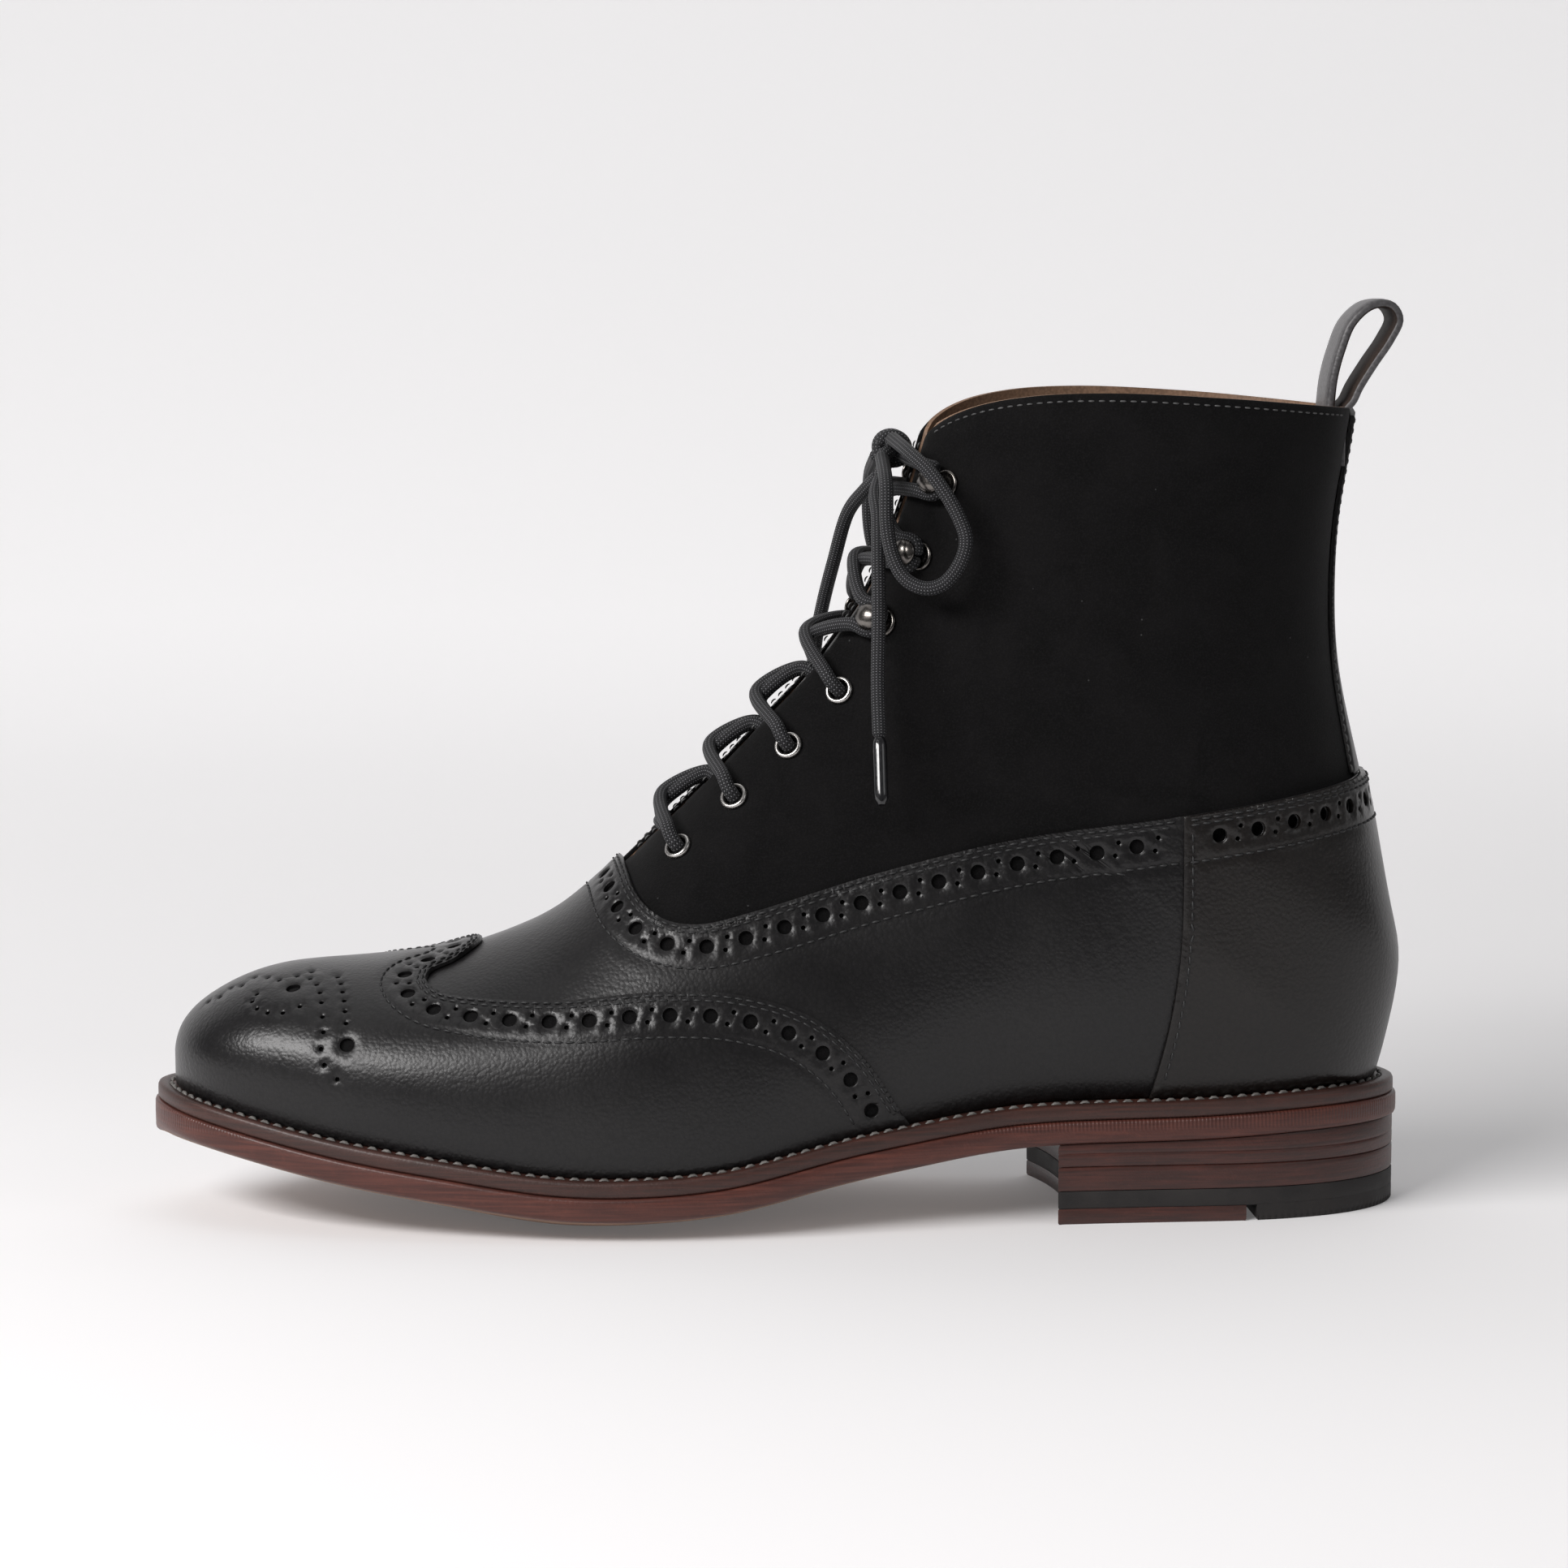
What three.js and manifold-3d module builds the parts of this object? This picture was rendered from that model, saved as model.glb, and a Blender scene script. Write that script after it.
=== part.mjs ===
// Left brogue boot: a hollow upper drawn over a last, its leather overlays, a welted sole, a stacked
// heel, eyelets, speed hooks and a tied lace. Millimetres. The toe points to -X, the medial side to +Y
// and +Z is up, with the origin on the floor under the middle of the sole.
import * as THREE from "three";
import { mergeVertices } from "three/addons/utils/BufferGeometryUtils.js";
import Module from "manifold-3d";

const wasm = await Module();
wasm.setup();

// Driving dimensions of the sole and heel
const soleLength = 305;
const ballWidth = 102; // outsole across the ball
const toeSpring = 19.6; // tip of the sole over the ball
const toeTurn = 4; // toe tip towards the medial side
const soleCrown = 5.2; // side edge of the sole over its middle at the ball
const heelHeight = 19.5; // outsole's underside over the floor at the breast
const outsoleThickness = 5.5;
const weltThickness = 3.7;
const weltStep = 0.7; // welt's edge inside the outsole's edge
const weltWidth = 9.8;
const insoleThickness = 4.6;
const insoleDish = 0.3; // insole's hollow, as a share of the sole's crown
const topPieceThickness = 8;
const topStripThickness = 3.7; // leather strip at the front of the top piece
const topStripLength = 46;
const lowerLiftThickness = 5.5;
const heelInset = 0.8;
const breastAlong = 0.712; // heel's front corners, as a share of the sole's length
const breastHollow = 5; // depth of the concave breast

// Driving dimensions of the upper
const wall = 2; // quarters and lining together
const overlay = 1.2; // leather of cap, foot, counter and back strip
const clearance = 0.3;
const weltShow = 4.9; // sole's edge to the outermost leather
const lastWidth = 88; // across the ball, under the leather overlays
const legWidth = 72; // across the collar
const instepRise = 110; // instep over the welt, where a section meets the heel's end
const legRise = 163.5; // collar over the heel seat at the back
const hemClearance = 0.5; // upper's lower edge over the welt

// Throat, tongue, hardware and lace
const throatHalfWidth = 8.5; // at the collar
const throatEndHalfWidth = 4.5;
const throatAlong = 0.372; // lower end of the throat, as a share of the sole's length
const tongueThickness = 1.8;
const tongueHalfWidth = 21;
const tongueDrop = 3; // tongue's top edge under the collar
const tongueRoot = 14; // tongue below the throat's end
const eyeletCount = 4;
const eyeletInset = 8; // side view, from the instep line
const eyeletRadius = 3.5;
const eyeletHole = 2.35;
const eyeletBarrel = 2.8;
const eyeletRim = 0.8;
const hookRadius = 3.5;
const hookBase = 0.6;
const hookGap = 4.1; // room for the lace under the hook's cap
const hookCapRadius = 3.2;
const hookCapHeight = 1.9;
const hookLean = 1.2; // cap's centre towards the throat from the base's centre
const neckHalfWidth = 1.4;
const neckThickness = 1;
const laceRadius = 1.7;
const knotRadius = 5;
const knotRise = 0.925; // knot's height over the heel seat, share of legRise
const bowLength = 34;
const tipLength = 16.5;
const tipRadius = 1.5;
const laceSides = 5;
const backStripTop = 5.5; // half width at the collar
const backStripFoot = 15; // half width at the foot leather
const loopHeight = 28; // pull loop's top over the collar's back
const loopWidth = 16;
const loopThickness = 2.4;

// How finely the curved pieces are divided
const footSteps = 18;
const endFineness = 0.07; // how much closer the sections lie at the toe and the heel
const legSteps = 8;
const girthSteps = 10; // from the instep line to the welt, on each side
const soleSteps = 26;
const soleColumns = 6;
const heelSteps = 8;
const turnSides = 8; // of eyelets and hooks

const halfLength = soleLength / 2;

function table(names, rows) {
  const found = {};
  names.forEach((name, k) => {
    found[name] = rows.map((row) => row[k]);
  });
  return found;
}

// Sole, a row for each station from toe to heel. along: share of soleLength. lateral, medial: shares of
// half the ballWidth from the centre line. turn: share of toeTurn. crown: share of soleCrown.
// spring: share of toeSpring. pitch: share of heelHeight.
const sole = table(
  ["along", "lateral", "medial", "turn", "crown", "spring", "pitch"],
  [
    [0, 0, 0, 1, 0.5, 1, 0],
    [0.008, 0.22, 0.23, 1, 0.5, 0.985, 0],
    [0.027, 0.42, 0.42, 1, 0.53, 0.92, 0],
    [0.06, 0.6, 0.6, 0.97, 0.6, 0.8, 0],
    [0.11, 0.76, 0.76, 0.9, 0.7, 0.61, 0],
    [0.17, 0.875, 0.875, 0.78, 0.82, 0.4, 0],
    [0.24, 0.96, 0.95, 0.6, 0.95, 0.2, 0],
    [0.315, 1.01, 0.967, 0.42, 1.1, 0, 0],
    [0.39, 1.02, 0.915, 0.25, 1.04, 0, 0],
    [0.46, 0.975, 0.815, 0.12, 0.98, 0, 0.12],
    [0.53, 0.88, 0.715, 0.03, 0.87, 0, 0.385],
    [0.6, 0.79, 0.645, 0, 0.68, 0, 0.625],
    [0.67, 0.715, 0.615, 0, 0.4, 0, 0.85],
    [0.74, 0.675, 0.62, 0, 0.1, 0, 0.98],
    [0.81, 0.66, 0.64, 0, 0, 0, 1.02],
    [0.87, 0.64, 0.635, 0, 0, 0, 1.06],
    [0.92, 0.565, 0.57, 0, 0, 0, 1.09],
    [0.957, 0.445, 0.45, 0, 0, 0, 1.1],
    [0.986, 0.26, 0.265, 0, 0, 0, 1.095],
    [1, 0, 0, 0, 0, 0, 1.09],
  ],
);

// Foot of the last, a row for each section from the toe to the heel seat's end. seat: row of the sole
// table where the section meets the welt. ridge: instep line, share of soleLength. rise: share of
// instepRise over the welt. lateral, medial: widest half widths, shares of half the lastWidth.
// widest: where, as a share of the way down. crest: fullness above it. under: fullness below it.
// round: 0 open at the welt, 1 closed at the back.
const footNames = ["seat", "ridge", "rise", "lateral", "medial", "widest", "crest", "under", "round"];
const foot = table(footNames, [
  [0, 0.0259, 0.064, 0, 0, 0.6, 2.3, 2, 0],
  [1, 0.0279, 0.092, 0.19, 0.19, 0.64, 2.3, 2, 0],
  [2, 0.0357, 0.14, 0.375, 0.375, 0.68, 2.4, 2, 0],
  [3, 0.0574, 0.205, 0.575, 0.565, 0.72, 2.5, 2, 0],
  [4, 0.1016, 0.283, 0.75, 0.745, 0.74, 2.55, 2, 0],
  [5, 0.1623, 0.332, 0.88, 0.875, 0.75, 2.5, 2, 0],
  [6, 0.2311, 0.386, 0.97, 0.955, 0.76, 2.4, 2, 0],
  [7, 0.2951, 0.472, 1.02, 0.965, 0.77, 2.25, 2, 0],
  [8, 0.3443, 0.558, 1.025, 0.915, 0.77, 2.1, 2, 0],
  [9.5, 0.405, 0.685, 0.95, 0.815, 0.75, 1.95, 2, 0],
  [11, 0.451, 0.76, 0.845, 0.765, 0.72, 1.9, 2, 0],
  [12.5, 0.4823, 0.824, 0.795, 0.755, 0.68, 1.9, 2, 0.05],
  [14, 0.5052, 0.889, 0.78, 0.764, 0.65, 1.9, 2.1, 0.12],
  [16, 0.5229, 0.936, 0.777, 0.768, 0.62, 1.9, 2.3, 0.35],
  [17.5, 0.5325, 0.97, 0.78, 0.773, 0.61, 1.95, 2.5, 0.7],
  [19, 0.54, 1, 0.784, 0.777, 0.6, 2, 2.6, 1],
]);

// Leg, a row for each section from over the heel seat to the collar. back, climb: back line, shares of
// soleLength and legRise. ridge: instep line, share of soleLength. rise: share of the way from
// instepRise to legRise. lateral, medial: shares of half the legWidth.
const legNames = ["back", "climb", "ridge", "rise", "lateral", "medial", "widest", "crest", "under"];
const leg = table(legNames, [
  [0.9905, 0.147, 0.5492, 0.07, 0.964, 0.956, 0.6, 2, 2.6],
  [0.9855, 0.235, 0.5547, 0.114, 0.968, 0.962, 0.6, 2, 2.6],
  [0.9754, 0.331, 0.5607, 0.161, 0.972, 0.967, 0.59, 2, 2.5],
  [0.9656, 0.429, 0.5673, 0.225, 0.975, 0.97, 0.58, 2, 2.5],
  [0.9525, 0.533, 0.575, 0.319, 0.978, 0.972, 0.57, 2, 2.4],
  [0.9423, 0.631, 0.5831, 0.432, 0.98, 0.975, 0.56, 2, 2.4],
  [0.9397, 0.735, 0.5915, 0.563, 0.983, 0.978, 0.55, 2, 2.3],
  [0.9426, 0.839, 0.5996, 0.7, 0.988, 0.984, 0.55, 2, 2.3],
  [0.9498, 0.928, 0.6075, 0.863, 0.994, 0.99, 0.55, 2, 2.2],
  [0.9575, 1.03, 0.622, 1.13, 1, 1, 0.55, 2, 2.2],
]);

// Seam lines in side view: along, share of soleLength; up, share of instepRise over the welt there.
const bandLine = [
  [0.35, 0.82],
  [0.3725, 0.65],
  [0.382, 0.59],
  [0.4, 0.545],
  [0.428, 0.528],
  [0.474, 0.537],
  [0.572, 0.561],
  [0.68, 0.59],
  [0.806, 0.63],
  [1.02, 0.71],
];
const wingLine = [
  [0.2719, 0.47],
  [0.2387, 0.408],
  [0.2187, 0.377],
  [0.2165, 0.362],
  [0.226, 0.348],
  [0.255, 0.352],
  [0.32, 0.376],
  [0.4, 0.397],
  [0.46, 0.371],
  [0.515, 0.289],
  [0.555, 0.178],
  [0.59, 0.02],
];
const counterLine = [
  [0.807, 0.75],
  [0.807, 0.35],
  [0.8, 0.18],
  [0.782, -0.05],
];
// Collar in side view: along, share of soleLength; up, share of legRise over the heel seat.
const collarLine = [
  [0.6, 0.9],
  [0.61, 0.955],
  [0.6246, 0.985],
  [0.65, 1.008],
  [0.69, 1.023],
  [0.75, 1.028],
  [0.84, 1.02],
  [0.92, 1.007],
  [1, 0.992],
];

// Eyelets, then hooks, from the throat's end up. travel: up the instep, share of throatLength. depth:
// side view distance from the instep line, share of eyeletInset.
const fittings = table(
  ["travel", "depth"],
  [
    [0.096, 0.7],
    [0.224, 0.87],
    [0.35, 1.07],
    [0.475, 1.15],
    [0.612, 1],
    [0.728, 1.05],
    [0.853, 1.05],
  ],
);

// Side view of the pull loop from inside the shaft over to the back. Shares of loopHeight, from the
// collar's back.
const loopLine = table(
  ["back", "up"],
  [
    [-0.31, -0.514],
    [-0.235, -0.014],
    [-0.2, 0.307],
    [-0.135, 0.557],
    [-0.039, 0.789],
    [0.132, 0.936],
    [0.296, 0.936],
    [0.368, 0.818],
    [0.293, 0.643],
    [0.154, 0.436],
    [0.025, 0.229],
    [-0.032, 0.11],
  ],
);

// Bow and ends of the lace, from the knot. back: towards the heel. down: below the knot. out: sideways.
const bowLoop = table(
  ["back", "down", "out"],
  [
    [-0.02, -0.08, 0.185],
    [0.08, 0.02, 0.6],
    [0.22, 0.17, 0.82],
    [0.38, 0.44, 0.94],
    [0.43, 0.61, 0.97],
    [0.38, 0.78, 0.97],
    [0.27, 0.91, 0.95],
    [0.15, 0.94, 0.92],
    [0.02, 0.88, 0.86],
    [-0.06, 0.74, 0.8],
    [-0.1, 0.52, 0.74],
    [-0.1, 0.24, 0.66],
    [-0.09, 0.05, 0.185],
  ],
);
const nearEnd = table(
  ["back", "down", "out"],
  [
    [-0.09, 0.21, 0.08],
    [-0.14, 0.32, 0.27],
    [-0.14, 0.46, 0.46],
    [-0.155, 0.8, 0.68],
    [-0.16, 1.14, 0.78],
    [-0.18, 1.61, 0.94],
    [-0.18, 1.97, 1.07],
  ],
);
const farEnd = table(
  ["back", "down", "out"],
  [
    [-0.08, 0.19, 0.06],
    [-0.17, 0.3, 0.18],
    [-0.28, 0.47, 0.36],
    [-0.37, 0.84, 0.56],
    [-0.43, 1.15, 0.76],
    [-0.47, 1.42, 0.9],
    [-0.5, 1.8, 1.03],
  ],
);

// Cubic spline through values at 0, 1, 2 and so on, level at an end where told, else free there.
function spline(values, levelStart = false, levelEnd = false) {
  const n = values.length;
  const bend = new Array(n).fill(0);
  const carry = new Array(n).fill(0);
  for (let i = 0; i < n; i++) {
    const first = i === 0;
    const last = i === n - 1;
    let before = 1;
    let middle = 4;
    let after = 1;
    let load = 0;
    if (first) {
      before = 0;
      middle = levelStart ? 2 : 1;
      after = levelStart ? 1 : 0;
      load = levelStart ? 6 * (values[1] - values[0]) : 0;
    } else if (last) {
      before = levelEnd ? 1 : 0;
      middle = levelEnd ? 2 : 1;
      after = 0;
      load = levelEnd ? 6 * (values[n - 2] - values[n - 1]) : 0;
    } else {
      load = 6 * (values[i + 1] - 2 * values[i] + values[i - 1]);
    }
    const pivot = middle - before * (first ? 0 : carry[i - 1]);
    carry[i] = after / pivot;
    bend[i] = (load - before * (first ? 0 : bend[i - 1])) / pivot;
  }
  for (let i = n - 2; i >= 0; i--) bend[i] -= carry[i] * bend[i + 1];
  return (at) => {
    const i = Math.min(Math.max(Math.floor(at), 0), n - 2);
    const f = at - i;
    const g = 1 - f;
    const straight = g * values[i] + f * values[i + 1];
    return straight + ((g * g * g - g) * bend[i] + (f * f * f - f) * bend[i + 1]) / 6;
  };
}

function mix(a, b, share) {
  return a + (b - a) * share;
}

function along(share) {
  return share * soleLength - halfLength;
}

// The number between low and high where a rising function reaches a value.
function solve(rising, value, low, high) {
  let a = low;
  let b = high;
  for (let k = 0; k < 40; k++) {
    const middle = (a + b) / 2;
    if (rising(middle) < value) a = middle;
    else b = middle;
  }
  return (a + b) / 2;
}

// Sole
const heelEnd = sole.along.length - 1;
const soleSpline = {
  along: spline(sole.along, true, true),
  lateral: spline(sole.lateral),
  medial: spline(sole.medial),
  turn: spline(sole.turn, true),
  crown: spline(sole.crown, true),
  spring: spline(sole.spring, true),
  pitch: spline(sole.pitch, true, true),
};

function soleAt(row) {
  const half = ballWidth / 2;
  return {
    x: along(soleSpline.along(row)),
    centre: toeTurn * soleSpline.turn(row),
    lateral: half * soleSpline.lateral(row),
    medial: half * soleSpline.medial(row),
    crown: soleCrown * Math.max(0, soleSpline.crown(row)),
    edge:
      soleCrown * soleSpline.crown(row) +
      toeSpring * soleSpline.spring(row) +
      heelHeight * soleSpline.pitch(row),
  };
}

function soleRowAt(x) {
  return solve((row) => soleAt(row).x, x, 0, heelEnd);
}

// A point of the sole's outline in plan, moved inwards. side is -1 lateral, 1 medial.
function outline(row, side, inset) {
  const step = 0.02;
  const low = Math.max(0, row - step);
  const high = Math.min(heelEnd, row + step);
  const place = (at) => {
    const s = soleAt(at);
    return [s.x, s.centre + side * (side < 0 ? s.lateral : s.medial)];
  };
  const [x, y] = place(row);
  const [x0, y0] = place(low);
  const [x1, y1] = place(high);
  let nx = -side * (y1 - y0);
  let ny = side * (x1 - x0);
  if (row < step) [nx, ny] = [-1, 0];
  if (row > heelEnd - step) [nx, ny] = [1, 0];
  const size = Math.hypot(nx, ny);
  return [x - (inset * nx) / size, y - (inset * ny) / size];
}

// How far the sole's middle lies under its side edge
function dish(x, y) {
  const s = soleAt(soleRowAt(x));
  const half = Math.max(y < s.centre ? s.lateral : s.medial, 1);
  const share = Math.min(1, Math.abs(y - s.centre) / half);
  return s.crown * (1 - share ** 2.6);
}

// Underside of the outsole, a little more dished than it can be, so that it is flat where it stands
function underside(x, y) {
  return Math.max(0, soleAt(soleRowAt(x)).edge - 1.07 * dish(x, y));
}

function weltTop(x) {
  return soleAt(soleRowAt(x)).edge + outsoleThickness + clearance + weltThickness;
}

// Last
const overlayStack = 2 * (overlay + clearance);
const featherInset = weltShow + overlayStack;
const footEnd = foot.seat.length - 1;
const topRow = footEnd + leg.back.length;
const heelSeat = weltTop(halfLength) + clearance;

function through(footValues, legValues, level) {
  return spline([...footValues, ...legValues], level);
}

const lastSpline = {
  seat: spline(foot.seat),
  ridgeX: through(foot.ridge.map(along), leg.ridge.map(along), true),
  ridgeZ: through(
    foot.rise.map((rise, k) => weltTop(soleAt(foot.seat[k]).x) + clearance + rise * instepRise),
    leg.rise.map((rise) => heelSeat + mix(instepRise, legRise, rise)),
    true,
  ),
  lateral: through(
    foot.lateral.map((share) => (share * lastWidth) / 2),
    leg.lateral.map((share) => (share * legWidth) / 2),
  ),
  medial: through(
    foot.medial.map((share) => (share * lastWidth) / 2),
    leg.medial.map((share) => (share * legWidth) / 2),
  ),
  widest: through(foot.widest, leg.widest),
  crest: through(foot.crest, leg.crest),
  under: through(foot.under, leg.under),
  round: through(foot.round, leg.back.map(() => 1)),
  backX: spline([halfLength - featherInset, ...leg.back.map(along)]),
  backZ: spline([heelSeat, ...leg.climb.map((climb) => heelSeat + climb * legRise)]),
};

const sections = new Map();

// A section of the last: its instep point, its keel point, and where each side meets the welt.
function sectionAt(row) {
  if (sections.has(row)) return sections.get(row);
  const s = { ridge: new THREE.Vector3(), keel: new THREE.Vector3() };
  const onFoot = row < footEnd - 1e-6;
  const seat = Math.min(Math.max(lastSpline.seat(row), 0), heelEnd);
  const centre = onFoot ? soleAt(seat).centre : 0;
  s.ridge.set(lastSpline.ridgeX(row), centre, lastSpline.ridgeZ(row));
  if (onFoot) {
    s.feet = [-1, 1].map((side) => {
      const [x, y] = outline(seat, side, featherInset);
      return new THREE.Vector3(x, y, weltTop(x) + clearance);
    });
    s.keel.addVectors(s.feet[0], s.feet[1]).multiplyScalar(0.5);
    s.keel.y = centre;
  } else {
    s.keel.set(lastSpline.backX(row - footEnd), 0, lastSpline.backZ(row - footEnd));
    s.feet = [s.keel, s.keel];
  }
  s.half = [lastSpline.lateral(row), lastSpline.medial(row)];
  for (const name of ["widest", "crest", "under", "round"]) s[name] = lastSpline[name](row);
  s.round = Math.min(Math.max(s.round, 0), 1);
  sections.set(row, s);
  return s;
}

// How much of the way round a side lies above its widest point: on the foot, and on the leg
const crestShare = [0.68, 0.52];

// A point of the last. girth runs from -1 at the lateral welt over 0 on the instep to 1 at the medial.
function lastPoint(row, girth) {
  const s = sectionAt(row);
  const side = girth < 0 ? -1 : 1;
  const foot = s.feet[girth < 0 ? 0 : 1];
  const half = s.half[girth < 0 ? 0 : 1];
  const footHalf = side * (foot.y - s.keel.y);
  const round = Math.abs(girth);
  const crest = mix(crestShare[0], crestShare[1], s.round);
  let down;
  let width;
  if (round <= crest) {
    const turn = Math.cos((round / crest) * (Math.PI / 2));
    down = s.widest * (1 - turn);
    width = half * Math.sqrt(1 - turn ** s.crest);
  } else {
    const even = (round - crest) / (1 - crest);
    const share = mix(even, Math.sin((even * Math.PI) / 2), s.round);
    down = mix(s.widest, 1, share);
    width = footHalf + (half - footHalf) * Math.max(0, 1 - share ** s.under) ** (1 - s.round / 2);
  }
  const shift = down ** 3;
  return new THREE.Vector3(
    mix(s.ridge.x, s.keel.x, down) + (foot.x - s.keel.x) * shift,
    s.keel.y + side * width,
    mix(s.ridge.z, s.keel.z, down) + (foot.z - s.keel.z) * shift,
  );
}

function lastNormal(row, girth) {
  const step = 0.02;
  const rowStep = new THREE.Vector3().subVectors(
    lastPoint(Math.min(row + step, topRow), girth),
    lastPoint(Math.max(row - step, 0), girth),
  );
  const girthStep = new THREE.Vector3().subVectors(
    lastPoint(row, Math.min(girth + step, 1)),
    lastPoint(row, Math.max(girth - step, -1)),
  );
  return rowStep.cross(girthStep).normalize();
}

// Row and girth of the lateral or medial point of the last that side view shows at x and z.
function locate(x, z, side, rowGuess) {
  let row = rowGuess;
  let girth = 0.25;
  for (let k = 0; k < 30; k++) {
    const here = lastPoint(row, side * girth);
    const byRow = lastPoint(row + 0.01, side * girth).sub(here).multiplyScalar(100);
    const byGirth = lastPoint(row, side * (girth + 0.001)).sub(here).multiplyScalar(1000);
    const ex = x - here.x;
    const ez = z - here.z;
    const area = byRow.x * byGirth.z - byRow.z * byGirth.x;
    const rowStep = (ex * byGirth.z - ez * byGirth.x) / area;
    const girthStep = (byRow.x * ez - byRow.z * ex) / area;
    row += THREE.MathUtils.clamp(rowStep, -1, 1);
    girth = THREE.MathUtils.clamp(girth + THREE.MathUtils.clamp(girthStep, -0.1, 0.1), 0.01, 0.98);
  }
  return { row, girth: side * girth };
}

// Solids
function solidFrom(points, faces) {
  const flat = [];
  for (const face of faces) {
    for (let k = 2; k < face.length; k++) {
      for (const corner of [face[0], face[k - 1], face[k]]) flat.push(...points[corner]);
    }
  }
  const geometry = new THREE.BufferGeometry();
  geometry.setAttribute("position", new THREE.Float32BufferAttribute(flat, 3));
  return solidOf(geometry);
}

// A closed geometry as a solid that faces outwards. Faces that have no area are dropped.
function solidOf(geometry) {
  const bare = new THREE.BufferGeometry();
  const source = geometry.index ? geometry.toNonIndexed() : geometry;
  bare.setAttribute("position", source.getAttribute("position"));
  const merged = mergeVertices(bare, 1e-3);
  const index = merged.index.array;
  const at = merged.attributes.position;
  const kept = [];
  let volume = 0;
  const [a, b, c] = [new THREE.Vector3(), new THREE.Vector3(), new THREE.Vector3()];
  for (let k = 0; k < index.length; k += 3) {
    const [i, j, l] = index.slice(k, k + 3);
    if (i === j || j === l || l === i) continue;
    kept.push(i, j, l);
    volume += a.fromBufferAttribute(at, i).dot(b.fromBufferAttribute(at, j).cross(c.fromBufferAttribute(at, l)));
  }
  if (volume < 0) kept.reverse();
  return new wasm.Manifold(
    new wasm.Mesh({
      numProp: 3,
      vertProperties: new Float32Array(at.array),
      triVerts: new Uint32Array(kept),
    }),
  );
}

function geometryOf(solid) {
  const mesh = solid.getMesh();
  const geometry = new THREE.BufferGeometry();
  geometry.setAttribute("position", new THREE.BufferAttribute(mesh.vertProperties, mesh.numProp));
  geometry.setIndex(new THREE.BufferAttribute(mesh.triVerts, 1));
  const separate = geometry.toNonIndexed();
  separate.computeVertexNormals();
  return separate;
}

const finishes = {
  suede: { color: 0x17171a, roughness: 0.95, metalness: 0 },
  leather: { color: 0x1d1b1b, roughness: 0.38, metalness: 0 },
  lining: { color: 0x6b4a33, roughness: 0.8, metalness: 0 },
  welt: { color: 0x2a1a15, roughness: 0.6, metalness: 0 },
  sole: { color: 0x6a2f24, roughness: 0.45, metalness: 0 },
  stack: { color: 0x5a2a21, roughness: 0.45, metalness: 0 },
  rubber: { color: 0x2a2626, roughness: 0.8, metalness: 0 },
  eyelet: { color: 0xb9b7b2, roughness: 0.3, metalness: 1 },
  hook: { color: 0x55504c, roughness: 0.35, metalness: 1 },
  lace: { color: 0x2b2c30, roughness: 0.7, metalness: 0 },
  tip: { color: 0x151517, roughness: 0.3, metalness: 0 },
};
const materials = {};
for (const [name, finish] of Object.entries(finishes)) {
  materials[name] = new THREE.MeshStandardMaterial(finish);
}

const boot = new THREE.Group();

function addPiece(name, solid, finish) {
  const mesh = new THREE.Mesh(geometryOf(solid), materials[finish]);
  mesh.name = name;
  boot.add(mesh);
}

// A plate whose plan follows the sole, from a place in plan and a height for each face.
function plate(steps, columns, place, low, high) {
  const points = [];
  const grid = [];
  for (let i = 0; i <= steps; i++) {
    const line = [];
    for (let j = 0; j <= columns; j++) {
      const [x, y] = place(i / steps, (2 * j) / columns - 1);
      line.push(points.length);
      points.push([x, y, low(x, y)], [x, y, high(x, y)]);
    }
    grid.push(line);
  }
  const faces = [];
  const side = (a, b) => faces.push([a, a + 1, b + 1, b]);
  for (let i = 0; i < steps; i++) {
    for (let j = 0; j < columns; j++) {
      const [a, b, c, d] = [grid[i][j], grid[i + 1][j], grid[i + 1][j + 1], grid[i][j + 1]];
      faces.push([a, d, c], [a, c, b], [a + 1, c + 1, d + 1], [a + 1, b + 1, c + 1]);
    }
    side(grid[i + 1][0], grid[i][0]);
    side(grid[i][columns], grid[i + 1][columns]);
  }
  for (let j = 0; j < columns; j++) {
    side(grid[0][j], grid[0][j + 1]);
    side(grid[steps][j + 1], grid[steps][j]);
  }
  return solidFrom(points, faces);
}

// Place in plan of a plate between two rows of the sole table, set in from its edge.
function soleplan(firstRow, lastRow, inset, hollow = 0) {
  return (share, across) => {
    const row = mix(firstRow, lastRow, share);
    const [x0, y0] = outline(row, -1, inset);
    const [x1, y1] = outline(row, 1, inset);
    const s = (across + 1) / 2;
    const bow = hollow * (1 - across * across) * (1 - share) ** 2;
    return [mix(x0, x1, s) + bow, mix(y0, y1, s)];
  };
}

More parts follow.
